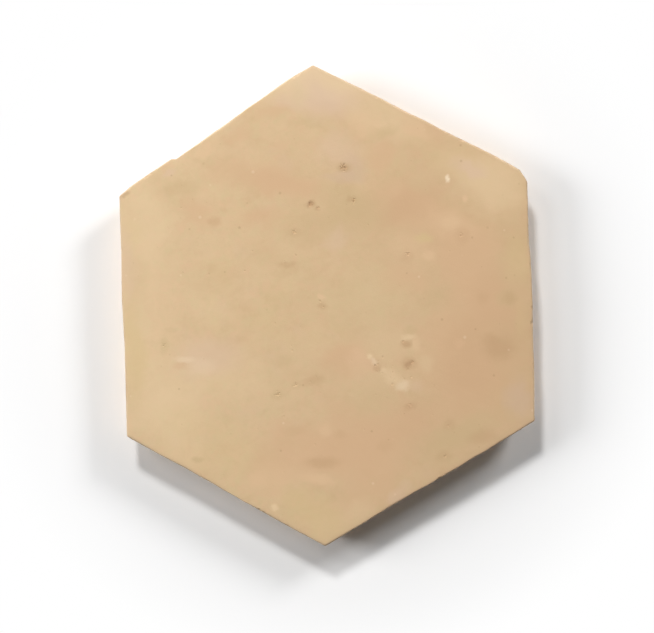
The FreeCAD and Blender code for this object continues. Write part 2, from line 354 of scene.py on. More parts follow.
    def turned(self, place: Feed, turn: float, size: tuple[float, float, float],
               middle: tuple[float, float, float] = (0.0, 0.0, 0.0)) -> bpy.types.NodeSocket:
        """Position seen from a turned box, in which its faces are at a distance of 1, for a shader tree.

        Args:
            place: Position in millimetres.
            turn: How far the box is turned, anticlockwise.
            size: Half its width, height and depth.
            middle: Its middle.

        Returns:
            The socket with the position.
        """
        node = self.add("ShaderNodeMapping", {"vector_type": "TEXTURE"}, {"Vector": place})
        node.inputs["Location"].default_value = middle
        node.inputs["Rotation"].default_value = (0.0, 0.0, math.radians(turn))
        node.inputs["Scale"].default_value = size
        return node.outputs[0]


@dataclass(frozen=True)
class CutCorner:
    """Where hand cutting left a corner of the face, from the corner of a true hexagon.

    Attributes:
        right: How far it lies to the right.
        up: How far it lies up.
        cut_back: Where the corner's curve begins on each side, from the sharp corner.
        fullness: 1 for a worn round corner, 0 for one knocked off straight.
    """

    right: float
    up: float
    cut_back: float = 0.6
    fullness: float = 1.0


@dataclass(frozen=True)
class CutSide:
    """One hand-cut side of the face.

    Attributes:
        undercut: How far its foot lies in from its edge.
        swells: Pairs of a share of the way along and how far the edge swells out there.
    """

    undercut: float
    swells: tuple[tuple[float, float], ...]


@dataclass(frozen=True)
class Flake:
    """The long flake that came off one edge: a steep step in, and a slow way back out.

    Attributes:
        side: The side that lost it.
        start: Way along the side to where it begins, from the side's first corner.
        length: Its length along the side.
        inset: How far it goes in.
        step_run: Length of the steep step in.
        return_power: 1 for a straight way back out, and below 1 for one that stays deep for longer.
    """

    side: Side = Side.UPPER_LEFT
    start: float = 20.0
    length: float = 28.0
    inset: float = 0.9
    step_run: float = 1.3
    return_power: float = 0.6

    def depth(self, way: np.ndarray) -> np.ndarray:
        """How deep the flake is at each way along its side, from the side's first corner."""
        step = np.clip((way - self.start) / self.step_run, 0, 1)
        rest = np.clip((self.start + self.length - way) / (self.length - self.step_run), 0, 1)
        return self.inset * step * rest ** self.return_power


@dataclass(frozen=True)
class Bite:
    """A small round loss: a pit in the face or a chip in the edge.

    Attributes:
        x: Place to the right of the tile's middle.
        y: Place up from the tile's middle.
        radius: Radius of its mouth.
        depth: How deep it goes.
    """

    x: float
    y: float
    radius: float
    depth: float


@dataclass(frozen=True)
class EdgeChip:
    """A chip in the edge of the face.

    Attributes:
        side: The side that lost it.
        along: Way along the side to its middle, from the side's first corner.
        radius: Radius of its mouth.
        depth: How deep it goes.
    """

    side: Side
    along: float
    radius: float
    depth: float


# The face's pits and crumbs that stand out, as measured on the tile.
FACE_PITS = (
    Bite(6.8, 43.2, 1.05, 0.17),
    Bite(-4.0, 32.0, 0.80, 0.16),
    Bite(-1.7, 30.6, 0.45, 0.08),
    Bite(9.0, 32.9, 0.80, 0.06),
    Bite(-11.9, 13.6, 0.80, 0.10),
    Bite(-12.9, 13.9, 0.45, 0.06),
    Bite(-9.5, 23.6, 0.65, 0.08),
    Bite(-1.5, 0.2, 0.85, 0.16),
    Bite(-2.1, 1.4, 0.40, 0.07),
    Bite(24.4, -12.9, 0.85, 0.14),
    Bite(23.6, -12.2, 0.45, 0.09),
    Bite(25.0, -19.2, 1.00, 0.20),
    Bite(26.1, -18.8, 0.55, 0.14),
    Bite(24.6, -20.9, 0.45, 0.10),
    Bite(15.1, -20.5, 0.75, 0.16),
    Bite(14.4, -19.6, 0.45, 0.09),
    Bite(16.3, -21.6, 0.40, 0.08),
    Bite(-4.6, -23.1, 0.80, 0.10),
    Bite(-6.2, -23.9, 0.50, 0.06),
    Bite(-10.9, -24.5, 0.55, 0.06),
    Bite(-16.4, -27.4, 0.70, 0.07),
    Bite(-51.6, -11.0, 0.60, 0.06),
    Bite(24.8, -32.3, 0.60, 0.09),
    Bite(36.9, -39.1, 0.55, 0.07),
    Bite(35.4, -48.7, 0.42, 0.07),
    Bite(43.0, 20.6, 0.50, 0.06),
    Bite(26.0, 15.2, 0.55, 0.05),
)

# Chips in the edge that have a place of their own. The last two lie in the long flake.
EDGE_CHIPS = (
    EdgeChip(Side.UPPER_RIGHT, 7.0, 1.3, 0.45),
    EdgeChip(Side.UPPER_RIGHT, 52.0, 1.2, 0.35),
    EdgeChip(Side.RIGHT, 47.0, 1.2, 0.30),
    EdgeChip(Side.LOWER_RIGHT, 31.0, 1.1, 0.35),
    EdgeChip(Side.LOWER_LEFT, 24.0, 1.1, 0.35),
    EdgeChip(Side.LOWER_LEFT, 58.0, 1.4, 0.45),
    EdgeChip(Side.LEFT, 40.0, 1.1, 0.30),
    EdgeChip(Side.UPPER_LEFT, 22.0, 1.8, 0.55),
    EdgeChip(Side.UPPER_LEFT, 39.0, 1.2, 0.40),
)


@dataclass(frozen=True)
class BiteSizes:
    """Sizes of like losses, of which small ones outnumber large ones.

    Attributes:
        smallest: Radius of the smallest.
        largest: Radius of the largest.
        depth_share: Usual depth, as a share of the radius.
        depth_least: Least depth, as a share of the usual one.
        depth_most: Most depth, as a share of the usual one.
    """

    smallest: float
    largest: float
    depth_share: float
    depth_least: float
    depth_most: float

    def pick(self, draw: random.Random) -> tuple[float, float]:
        """Draws a radius and a depth."""
        radius = self.smallest + (self.largest - self.smallest) * draw.random() ** 2
        return radius, radius * self.depth_share * draw.uniform(self.depth_least, self.depth_most)


@dataclass(frozen=True)
class ScatteredPits:
    """Fine pits that lie all over the face, and crumbs lost from one loose patch of it.

    Attributes:
        count: How many pits lie all over the face.
        sizes: Their sizes.
        edge_margin: How far they stay from the sides.
        patch_count: How many crumbs the loose patch has lost.
        patch_x: Place of the patch to the right of the tile's middle.
        patch_y: Place of the patch up from the tile's middle.
        patch_width: Width of the patch.
        patch_height: Height of the patch.
        patch_turn: How far it is turned, anticlockwise.
        patch_spread: How widely its crumbs scatter, as a share of its width and height.
        patch_growth: Radius of a crumb against that of a pit.
        seed: Seed of the draw.
    """

    count: int = 56
    sizes: BiteSizes = BiteSizes(0.16, 0.34, 0.20, 0.7, 1.3)
    edge_margin: float = 2.0
    patch_count: int = 22
    patch_x: float = 19.0
    patch_y: float = -21.5
    patch_width: float = 6.5
    patch_height: float = 4.2
    patch_turn: float = -38.0
    patch_spread: float = 0.5
    patch_growth: float = 1.15
    seed: int = 11

    def bites(self, across_flats: float) -> list[Bite]:
        """Draws the pits.

        Args:
            across_flats: Distance between the face's opposite sides.

        Returns:
            The scattered pits, then those of the loose patch.
        """
        draw = random.Random(self.seed)
        pits = []
        for _ in range(self.count):
            reach = (across_flats / 2 - self.edge_margin) * math.sqrt(draw.random())
            bearing = draw.uniform(0, math.tau)
            pits.append(Bite(reach * math.cos(bearing), reach * math.sin(bearing), *self.sizes.pick(draw)))
        turn = math.radians(self.patch_turn)
        for _ in range(self.patch_count):
            along = draw.gauss(0, self.patch_spread) * self.patch_width
            across = draw.gauss(0, self.patch_spread) * self.patch_height
            x = self.patch_x + along * math.cos(turn) - across * math.sin(turn)
            y = self.patch_y + along * math.sin(turn) + across * math.cos(turn)
            radius = draw.uniform(self.sizes.smallest, self.sizes.largest) * self.patch_growth
            pits.append(Bite(x, y, radius, radius * self.sizes.depth_share))
        return pits


@dataclass(frozen=True)
class EdgeNibbles:
    """Crumbs lost all along the worn edge.

    Attributes:
        per_side: How many each side has lost.
        sizes: Their sizes.
        corner_margin: How far they stay from the corners.
        seed: Seed of the draw.
    """

    per_side: int = 16
    sizes: BiteSizes = BiteSizes(0.30, 0.75, 0.30, 0.6, 1.2)
    corner_margin: float = 2.5
    seed: int = 5

    def chips(self, side_lengths: Sequence[float]) -> list[EdgeChip]:
        """Draws the crumbs' places and sizes.

        Args:
            side_lengths: Length of each side.

        Returns:
            The crumbs, one side after another.
        """
        draw = random.Random(self.seed)
        chips = []
        for side in Side:
            for _ in range(self.per_side):
                along = draw.uniform(self.corner_margin, side_lengths[side.value] - self.corner_margin)
                chips.append(EdgeChip(side, along, *self.sizes.pick(draw)))
        return chips


@dataclass(frozen=True)
class WornEdge:
    """The worn edge round the face, point by point.

    Attributes:
        foot: x and y of the outline at its foot.
        outward: The direction straight out of that outline.
        width: Its width.
    """

    foot: np.ndarray
    outward: np.ndarray
    width: np.ndarray

    def set_in(self, share: float) -> np.ndarray:
        """The outline at a share of the worn edge's width in from its foot."""
        return self.foot - self.outward * (self.width * share)[:, None]


@dataclass(frozen=True)
class TileForm:
    """The clay's form: the hexagon as it was cut, and the section from its face down to its bed.

    Attributes:
        thickness: Bed to the middle of the face.
        across_flats: Nominal distance between opposite sides.
        crown_fall: How much lower the face is at its corners than in its middle.
        rim_fall: How much the face drops away right at its edge.
        rim_reach: Distance in from the edge over which most of that drop happens.
        arris: Usual width of the worn edge round the face.
        arris_fall: Height of the worn edge, for each millimetre of its width.
        wear_swing: How much the width of the worn edge varies, as a share of the usual width.
        wear_least: Least width of the worn edge, as a share of the usual one.
        wear_size: Length of a wide or a narrow stretch of it.
        wear_seed: Seed of its width.
        waist_height: Height of the upright band's foot.
        band_set_back: How far the band leans in at its foot.
        bed_break: Height and depth of the broken edge round the bed.
        wobble: How far the cut strays from its line, out and in.
        wobble_size: Length of a stray.
        wobble_run: Length of a side, by which the strays are spaced.
        wobble_seed: Seed of the strays.
        wobble_step: Step in the noise from one side's strays to the next side's.
        cut_corners: The corners, clockwise from the top.
        cut_sides: The sides, clockwise from the top corner.
        flake: The long flake.
    """

    thickness: float = 13.0
    across_flats: float = 130.0
    crown_fall: float = 0.8
    rim_fall: float = 0.10
    rim_reach: float = 1.2
    arris: float = 0.55
    arris_fall: float = 1.1
    wear_swing: float = 0.6
    wear_least: float = 0.55
    wear_size: float = 11.0
    wear_seed: float = 4.7
    waist_height: float = 8.7
    band_set_back: float = 0.25
    bed_break: float = 0.8
    wobble: float = 0.15
    wobble_size: float = 7.0
    wobble_run: float = 73.0
    wobble_seed: float = 3.1
    wobble_step: float = 9.7
    cut_corners: tuple[CutCorner, ...] = (
        CutCorner(-1.7, 0.6),
        CutCorner(-0.6, 1.5, cut_back=2.6, fullness=0.15),
        CutCorner(-1.1, -1.2),
        CutCorner(-3.3, -0.6),
        CutCorner(0.6, -1.4),
        CutCorner(1.0, -0.7),
    )
    cut_sides: tuple[CutSide, ...] = (
        CutSide(2.2, ((0.0, 0.0), (0.25, 0.30), (0.60, 0.25), (0.86, 0.45), (1.0, 0.0))),
        CutSide(2.8, ((0.0, 0.0), (0.20, -0.10), (0.45, 0.45), (0.80, 0.35), (1.0, 0.0))),
        CutSide(1.9, ((0.0, 0.0), (0.30, 0.15), (0.70, -0.15), (1.0, 0.0))),
        CutSide(2.5, ((0.0, 0.0), (0.25, 0.12), (0.65, -0.18), (1.0, 0.0))),
        CutSide(2.0, ((0.0, 0.0), (0.35, -0.15), (0.55, 0.20), (0.80, -0.05), (1.0, 0.0))),
        CutSide(2.9, ((0.0, 0.0), (0.08, 0.45), (0.50, 0.40), (0.75, 0.25), (0.88, 0.55), (1.0, 0.0))),
    )
    flake: Flake = Flake()

    def corners(self) -> np.ndarray:
        """The face's sharp corners, clockwise from the top: one row each, x and y."""
        reach = self.across_flats / math.sqrt(3)
        places = []
        for number, corner in enumerate(self.cut_corners):
            bearing = math.pi / 2 - number * math.pi / 3
            places.append((reach * math.cos(bearing) + corner.right, reach * math.sin(bearing) + corner.up))
        return np.array(places)

    def side_ways(self) -> tuple[np.ndarray, np.ndarray]:
        """Each side's direction, and the direction straight out of it."""
        corners = self.corners()
        spans = np.roll(corners, -1, axis=0) - corners
        ways = spans / np.linalg.norm(spans, axis=1, keepdims=True)
        return ways, np.stack([-ways[:, 1], ways[:, 0]], axis=1)

    def side_lengths(self) -> np.ndarray:
        """Each side's length from sharp corner to sharp corner."""
        corners = self.corners()
        return np.linalg.norm(np.roll(corners, -1, axis=0) - corners, axis=1)

    def inset_corners(self, insets: Sequence[float]) -> np.ndarray:
        """Sharp corners of the outline whose sides are each set in by their own amount.

        Args:
            insets: How far each side is set in.

        Returns:
            One row for each corner, x and y.
        """
        ways, outward = self.side_ways()
        starts = self.corners() - outward * np.asarray(insets)[:, None]
        before_ways = np.roll(ways, 1, axis=0)
        before_starts = np.roll(starts, 1, axis=0)
        gaps = starts - before_starts
        turn = before_ways[:, 0] * ways[:, 1] - before_ways[:, 1] * ways[:, 0]
        run = (gaps[:, 0] * ways[:, 1] - gaps[:, 1] * ways[:, 0]) / turn
        return before_starts + before_ways * run[:, None]

    def crown(self, plan: np.ndarray) -> np.ndarray:
        """Height of the crowned face over points of the plan."""
        reach = self.across_flats / math.sqrt(3)
        radius = (reach ** 2 + self.crown_fall ** 2) / (2 * self.crown_fall)
        return self.thickness - radius + np.sqrt(radius ** 2 - (plan ** 2).sum(axis=-1))


@dataclass
class ClayBlank:
    """The tile's closed mesh before its relief: a triangular lattice on face and bed, rings down the sides.

    Attributes:
        form: The form that the mesh follows.
        steps: Points along each side, an even number.
        arris_steps: Rings across the worn edge.
        band_steps: Rings down the upright band.
        side_steps: Rings down the hammered side.
        break_steps: Rings round the broken edge of the bed.
        corner_crowding: How much closer the points stand at the corners, below 1.
        corner_share: Share of a side over which they crowd.
        bed_gap: Gap between the lowest ring and the bed's lattice, in steps of that lattice.
        band_rawness: How raw the clay is at the foot of the upright band, 0 to 1.
        side_rawness: How fast it gets fully raw from there: 3 is within a third of the hammered side.
        band_wear: How worn the clay still is at the top of the upright band, 0 to 1.
        points: The rings and rows of points so far, x, y and z.
        faces: The faces so far, by the numbers of their points.
        shares: What the points carry, ring by ring.
    """

    form: TileForm
    steps: int = 118
    arris_steps: int = 5
    band_steps: int = 5
    side_steps: int = 12
    break_steps: int = 3
    corner_crowding: float = 0.72
    corner_share: float = 0.025
    bed_gap: float = 0.6
    band_rawness: float = 0.35
    side_rawness: float = 3.0
    band_wear: float = 0.8
    points: list[np.ndarray] = field(default_factory=list)
    faces: list[tuple[int, ...]] = field(default_factory=list)
    shares: dict[Share, list[np.ndarray]] = field(default_factory=dict)

    def ways_along(self) -> np.ndarray:
        """Shares of a side's length at which its points stand, closer together near the corners."""
        even = np.arange(self.steps + 1) / self.steps
        width = self.corner_share
        first = 1 - np.exp(-even / width)
        last = np.exp(-(1 - even) / width) - math.exp(-1 / width)
        crowded = even - self.corner_crowding * width * (first + last)
        return crowded / crowded[-1]

    def plan(self, insets: Sequence[float]) -> np.ndarray:
        """The outline set in side by side, with its corners worn round.

        Args:
            insets: How far each side is set in.

        Returns:
            steps points for each side in turn, each x and y. The first of a side is the middle of its corner.
        """
        corners = self.form.inset_corners(insets)
        shares = self.ways_along()[:-1]
        rows = []
        for number in range(len(Side)):
            start, end = corners[number], corners[(number + 1) % len(Side)]
            way = (end - start) / np.linalg.norm(end - start)
            before = corners[number - 1] - start
            beyond = corners[(number + 2) % len(Side)] - end
            first = self.form.cut_corners[number]
            last = self.form.cut_corners[(number + 1) % len(Side)]
            leave = self.corner_curve(first, start, before / np.linalg.norm(before), way)
            enter = self.corner_curve(last, end, -way, beyond / np.linalg.norm(beyond))
            length = np.linalg.norm(end - start)
            arrive = shares * length
            straight = start + way * arrive[:, None]
            # A side begins and ends half way along the curves of its corners.
            in_leave = np.clip(0.5 + 0.5 * arrive / first.cut_back, 0, 1)
            in_enter = np.clip(0.5 * (arrive - length + last.cut_back) / last.cut_back, 0, 1)
            row = np.where((arrive < first.cut_back)[:, None], self.along_curve(leave, in_leave), straight)
            row = np.where((arrive > length - last.cut_back)[:, None], self.along_curve(enter, in_enter), row)
            rows.append(row)
        return np.concatenate(rows)

    @staticmethod
    def corner_curve(corner: CutCorner, place: np.ndarray, back: np.ndarray, on: np.ndarray) -> np.ndarray:
        """Three control points of a corner's curve.

        Args:
            corner: How the corner is worn or knocked off.
            place: The sharp corner.
            back: Direction from it back along the side before.
            on: Direction from it on along the side after.

        Returns:
            The curve's start, its middle control point and its end.
        """
        start = place + back * corner.cut_back
        end = place + on * corner.cut_back
        middle = (start + end) / 2 * (1 - corner.fullness) + place * corner.fullness
        return np.array([start, middle, end])

    @staticmethod
    def along_curve(curve: np.ndarray, share: np.ndarray) -> np.ndarray:
        """Points on a quadratic curve at shares from 0 to 1."""
        share = share[:, None]
        return (1 - share) ** 2 * curve[0] + 2 * share * (1 - share) * curve[1] + share ** 2 * curve[2]

    @staticmethod
    def outward(plan: np.ndarray) -> np.ndarray:
        """The direction straight out of a closed clockwise outline at each of its points."""
        spans = np.roll(plan, -1, axis=0) - np.roll(plan, 1, axis=0)
        spans /= np.linalg.norm(spans, axis=1, keepdims=True)
        return np.stack([-spans[:, 1], spans[:, 0]], axis=1)

    def swell(self) -> np.ndarray:
        """How far the cut lies outside its straight line at each point of the outline."""
        form = self.form
        shares = self.ways_along()[:-1]
        rows = []
        for number, side in enumerate(form.cut_sides):
            places, heights = zip(*side.swells)
            step = np.interp(shares, places, np.arange(len(places)))
            lower = np.floor(step).astype(int)
            upper = np.minimum(lower + 1, len(places) - 1)
            ease = (1 - np.cos(np.pi * (step - lower))) / 2
            heights = np.array(heights)
            broad = heights[lower] * (1 - ease) + heights[upper] * ease
            stray = [unevenness(share * form.wobble_run / form.wobble_size, number * form.wobble_step,
                                form.wobble_seed) for share in shares]
            rows.append(broad + form.wobble * np.sqrt(np.sin(np.pi * shares)) * np.array(stray))
        return np.concatenate(rows)

    def flake_depth(self) -> np.ndarray:
        """How deep the long flake is at each point of the outline."""
        depth = np.zeros(self.steps * len(Side))
        number = self.form.flake.side.value
        way = self.ways_along()[:-1] * self.form.side_lengths()[number]
        depth[number * self.steps:(number + 1) * self.steps] = self.form.flake.depth(way)
        return depth

    def add_ring(self, plan: np.ndarray, height: float | np.ndarray, shares: dict[Share, float]) -> int:
        """Keeps one ring of points.

        Args:
            plan: x and y of each point.
            height: Height of the ring, or of each of its points.
            shares: What its points carry. A share that isn't named is 0.

        Returns:
            The number of the ring's first point.
        """
        first = sum(len(ring) for ring in self.points)
        self.points.append(np.column_stack([plan, np.zeros(len(plan)) + height]))
        for share in (Share.LIFT, Share.SIDE, Share.BED, Share.ARRIS):
            self.shares.setdefault(share, []).append(np.full(len(plan), shares.get(share, 0.0)))
        return first

    def inner_ring(self, ring: np.ndarray, count: int, scale: float) -> np.ndarray:
        """A smaller copy of a ring about the middle, with fewer points along each side.

        Args:
            ring: The outer ring, steps points a side.
            count: Points along each side of the copy.
            scale: Its size against the outer ring.

        Returns:
            x and y of each of its points.
        """
        places = np.arange(count * len(Side)) * self.steps / count
        lower = np.floor(places).astype(int)
        rest = (places - lower)[:, None]
        return (ring[lower] * (1 - rest) + ring[(lower + 1) % len(ring)] * rest) * scale

    def join_lattice(self, firsts: Sequence[int], facing_up: bool) -> None:
        """Joins lattice rings of 1, 2, 3 and more points a side with triangles.

        Args:
            firsts: The number of the middle point, then of each ring's first point.
            facing_up: Whether the triangles face up.
        """
        sides = len(Side)
        for count in range(1, len(firsts)):
            outer, inner = firsts[count], firsts[count - 1]
            inner_total = max(1, sides * (count - 1))
            for side in range(sides):
                for step in range(count):
                    here = outer + side * count + step
                    there = outer + (side * count + step + 1) % (sides * count)
                    below = inner + (side * (count - 1) + step) % inner_total
                    self.faces.append((below, there, here) if facing_up else (below, here, there))
                    if step < count - 1:
                        beside = inner + (side * (count - 1) + step + 1) % inner_total
                        self.faces.append((below, beside, there) if facing_up else (below, there, beside))

    def join_rings(self, upper: int, lower: int) -> None:
        """Joins two rings of the same number of points with four-sided faces."""
        count = self.steps * len(Side)
        for step in range(count):
            after = (step + 1) % count
            self.faces.append((upper + step, upper + after, lower + after, lower + step))

    def lay_face(self, crest: np.ndarray) -> int:
        """Lays the lattice of the face inside its rim.

        Args:
            crest: x and y of each point of the rim.

        Returns:
            The number of the rim's first point.
        """
        firsts = []
        for count in range(self.steps + 1):
            if count == 0:
                plan = np.zeros((1, 2))
            else:
                plan = self.inner_ring(crest, count, count / self.steps)
            rim_way = (1 - count / self.steps) * self.form.across_flats / 2
            drop = self.form.rim_fall * math.exp(-rim_way / self.form.rim_reach)
            height = self.form.crown(plan) - drop
            firsts.append(self.add_ring(plan, height, {Share.LIFT: 1.0}))
        self.join_lattice(firsts, facing_up=True)
        return firsts[-1]

    def lay_arris(self, rim: int, edge: WornEdge) -> int:
        """Lays the rings over the worn edge, from the rim of the face down to the upright band.

        Args:
            rim: The number of the rim's first point.
            edge: The worn edge.

        Returns:
            The number of the first point of the lowest of these rings.
        """
        crest_height = self.crest_height(edge)
        above = rim
        for step in range(1, self.arris_steps + 1):
            turn = math.pi / 2 * step / self.arris_steps
            height = crest_height - edge.width * self.form.arris_fall * (1 - math.cos(turn))
            shares = {Share.LIFT: 1.0, Share.ARRIS: math.sqrt(math.sin(turn / 2))}
            ring = self.add_ring(edge.set_in(1 - math.sin(turn)), height, shares)
            self.join_rings(above, ring)
            above = ring
        return above

    def crest_height(self, edge: WornEdge) -> np.ndarray:
        """Height of the face where the worn edge begins."""
        return self.form.crown(edge.set_in(1.0)) - self.form.rim_fall

    def levels(self) -> list[tuple[float, float, float]]:
        """Shares of the way down the upright band, down the side and round the bed's break, ring by ring."""
        band = [(step / self.band_steps, 0.0, 0.0) for step in range(1, self.band_steps + 1)]
        side = [(1.0, step / self.side_steps, 0.0) for step in range(1, self.side_steps + 1)]
        broken = [(1.0, 1.0, step / self.break_steps) for step in range(1, self.break_steps + 1)]
        return band + side + broken

    def lay_sides(self, top: int, edge: WornEdge) -> int:
        """Lays the rings from the foot of the worn edge down to the bed.

        Args:
            top: The number of the first point of the ring at the foot of the worn edge.
            edge: The worn edge.

        Returns:
            The number of the first point of the lowest ring.
        """
        form = self.form
        top_height = self.crest_height(edge) - edge.width * form.arris_fall
        swell = self.swell()
        flake = self.flake_depth()
        out = self.outward(self.plan([0.0] * len(Side)))
        above = top
        for in_band, in_side, in_break in self.levels():
            lean = form.band_set_back * in_band * (1 - in_side)
            insets = [lean + side.undercut * in_side + form.bed_break * in_break for side in form.cut_sides]
            stray = swell * (1 - in_side) - np.maximum(flake - np.repeat(insets, self.steps), 0)
            plan = self.plan(insets) + out * stray[:, None]
            height = top_height * (1 - in_band) + form.waist_height * in_band
            height = height * (1 - in_side) + form.bed_break * in_side
            height = height * (1 - in_break)
            rawer = (1 - self.band_rawness) * min(1.0, in_side * self.side_rawness)
            shares = {
                Share.LIFT: 1 - in_band,
                Share.SIDE: self.band_rawness * in_band + rawer,
                Share.ARRIS: max(0.0, self.band_wear - in_band),
                Share.BED: in_break,
            }
            ring = self.add_ring(plan, height, shares)
            self.join_rings(above, ring)
            above = ring
        return above

    def lay_bed(self, lowest: int) -> None:
        """Closes the bed under the lowest ring with a lattice of half the points.

        Args:
            lowest: The number of that ring's first point.
        """
        ring = self.points[-1][:, :2]
        count = self.steps // 2
        bed_shares = {Share.BED: 1.0, Share.SIDE: 1.0}
        inner_scale = 1 - self.bed_gap / count
        firsts = []
        for steps in range(count + 1):
            if steps == 0:
                plan = np.zeros((1, 2))
            else:
                plan = self.inner_ring(ring, steps, inner_scale * steps / count)
            firsts.append(self.add_ring(plan, 0.0, bed_shares))
        self.join_lattice(firsts, facing_up=False)
        outer_total = self.steps * len(Side)
        inner_total = count * len(Side)
        for step in range(inner_total):
            inner = firsts[-1] + step
            inner_after = firsts[-1] + (step + 1) % inner_total
            outer = lowest + 2 * step
            outer_middle = lowest + 2 * step + 1
            outer_after = lowest + (2 * step + 2) % outer_total
            self.faces.append((inner, outer, outer_middle))
            self.faces.append((inner, outer_middle, inner_after))
            self.faces.append((inner_after, outer_middle, outer_after))

    def worn_edge(self) -> WornEdge:
        """The worn edge round the face, as the cut, the flake and the wear left it."""
        form = self.form
        straight = self.plan([0.0] * len(Side))
        foot = straight + self.outward(straight) * (self.swell() - self.flake_depth())[:, None]
        wear = [unevenness(x / form.wear_size, y / form.wear_size, form.wear_seed) for x, y in foot]
        share = np.maximum(1 + form.wear_swing * np.array(wear), form.wear_least)
        return WornEdge(foot, self.outward(foot), form.arris * share)

    def build(self) -> bpy.types.Mesh:
        """Builds the closed blank in metres, with its shares as attributes."""
        edge = self.worn_edge()
        rim = self.lay_face(edge.set_in(1.0))
        top = self.lay_arris(rim, edge)
        lowest = self.lay_sides(top, edge)
        self.lay_bed(lowest)
        mesh = bpy.data.meshes.new("clay_blank")
        mesh.from_pydata((np.concatenate(self.points) * MM).tolist(), [], self.faces)
        for share, rows in self.shares.items():
            layer = mesh.attributes.new(share.value, "FLOAT", "POINT")
            layer.data.foreach_set("value", np.concatenate(rows).astype(np.float32))
        mesh.update()
        return mesh


@dataclass
class BiteMaker:
    """Turns pits and chips into the centres and radii of the balls that carve them.

    Attributes:
        form: The tile's form, for the height of its face and the place of its edge.
        mesh_step: Length of the mesh's edges before they are split.
        fine_step: Length to which they are split around a bite.
        fine_margin: How far around a bite they are split, in lengths of the edges that are split.
        chip_sink: How far below the face's line the middle of a chip's mouth lies.
    """

    form: TileForm
    mesh_step: float = 0.6
    fine_step: float = 0.16
    fine_margin: float = 0.6
    chip_sink: float = 0.2

    @staticmethod
    def ball_radius(bite: Bite | EdgeChip) -> float:
        """Radius of the ball that leaves a dent of the bite's radius and depth."""
        return (bite.radius ** 2 + bite.depth ** 2) / (2 * bite.depth)

    def pit_balls(self, pits: Sequence[Bite]) -> tuple[np.ndarray, np.ndarray]:
        """Places the balls that carve pits into the face.

        Args:
            pits: The pits.

        Returns:
            The balls' centres and their radii, in metres.
        """
        centres = []
        radii = []
        for pit in pits:
            radius = self.ball_radius(pit)
            face = float(self.form.crown(np.array([pit.x, pit.y])))
            centres.append((pit.x, pit.y, face + radius - pit.depth))
            radii.append(radius)
        return np.array(centres) * MM, np.array(radii) * MM

    def chip_balls(self, chips: Sequence[EdgeChip]) -> tuple[np.ndarray, np.ndarray]:
        """Places the balls that carve chips into the edge.

        Args:
            chips: The chips.

        Returns:
            The balls' centres and their radii, in metres.
        """
        corners = self.form.corners()
        ways, outward = self.form.side_ways()
        centres = []
        radii = []
        for chip in chips:
            number = chip.side.value
            place = corners[number] + ways[number] * chip.along
            radius = self.ball_radius(chip)
            # A chip's mouth looks half out and half up, so its ball lies as far out as it lies up.
            away = (radius - chip.depth) * math.sqrt(0.5)
            edge = place + outward[number] * away
            height = float(self.form.crown(place)) - self.chip_sink + away
            centres.append((edge[0], edge[1], height))
            radii.append(radius)
        return np.array(centres) * MM, np.array(radii) * MM

    def refine(self, mesh: bpy.types.Mesh, centres: np.ndarray, radii: np.ndarray) -> None:
        """Splits the mesh's edges around the bites, so that their shape is in the mesh.

        Args:
            mesh: The blank, changed in place.
            centres: Middle of each ball.
            radii: Radius of each ball.
        """
        work = bmesh.new()
        work.from_mesh(mesh)
        rounds = math.ceil(math.log2(self.mesh_step / self.fine_step))
        for number in range(rounds):
            margin = self.mesh_step * MM / 2 ** number * self.fine_margin
            middles = np.array([(edge.verts[0].co + edge.verts[1].co) / 2 for edge in work.edges])
            near = np.zeros(len(middles), bool)
            for centre, radius in zip(centres, radii):
                near |= ((middles - centre) ** 2).sum(axis=1) < (radius + margin) ** 2
            work.edges.ensure_lookup_table()
            chosen = [work.edges[int(index)] for index in np.flatnonzero(near)]
            bmesh.ops.subdivide_edges(work, edges=chosen, cuts=1, use_grid_fill=True)
            many_sided = [face for face in work.faces if len(face.verts) > 3]
            bmesh.ops.triangulate(work, faces=many_sided)
        work.to_mesh(mesh)
        work.free()

    @staticmethod
    def ball_object(name: str, centres: np.ndarray, radii: np.ndarray) -> bpy.types.Object:
        """A helper object whose points are the balls' centres, with their radii as an attribute."""
        mesh = bpy.data.meshes.new(name)
        mesh.from_pydata(centres.tolist(), [], [])
        layer = mesh.attributes.new(REACH, "FLOAT", "POINT")
        layer.data.foreach_set("value", radii.astype(np.float32))
        return put_in_scene(name, mesh)


@dataclass(frozen=True)
class ClayRelief:
    """How far the clay's surface strays from its plain form. Each value becomes an input of the tree.

    Attributes:
        drag_height: Height of the streaks that the board left on the face.
        drag_stretch: How many times longer than wide they are.
        drag_turn: Which way the board was drawn.
        hammer_size: Distance between the hammer marks on the sides.
        hammer_fall: How fast a mark gets shallower away from its middle.
        hammer_softness: How softly the marks run into each other.
        warp_height: How far the marks are bent out of round.
        warp_size: Length of a bend.
        bed_begin: Noise value at which a hollow of the bed begins.
        bed_full: Noise value at which it is at its deepest.
        bed_grain_share: Depth of the bed's grain, as a share of its hollows'.
        ragged_height: How ragged pits and chips are, as a share of their radius.
        ragged_size: Width of their raggedness.
    """

    undulation_height: float = 0.16
    undulation_size: float = 38.0
    ripple_height: float = 0.030
    ripple_size: float = 7.0
    drag_height: float = 0.020
    drag_size: float = 2.6
    drag_stretch: float = 9.0
    drag_turn: float = 24.0
    hammer_depth: float = 1.00
    hammer_size: float = 7.5
    hammer_fall: float = 1.4
    hammer_softness: float = 0.25
    warp_height: float = 1.4
    warp_size: float = 3.0
    crumb_depth: float = 0.50
    crumb_size: float = 1.7
    bed_depth: float = 0.50
    bed_size: float = 11.0
    bed_begin: float = 0.40
    bed_full: float = 0.78
    bed_grain_share: float = 0.35
    bed_grain_size: float = 1.6
    ragged_height: float = 0.16
    ragged_size: float = 0.55


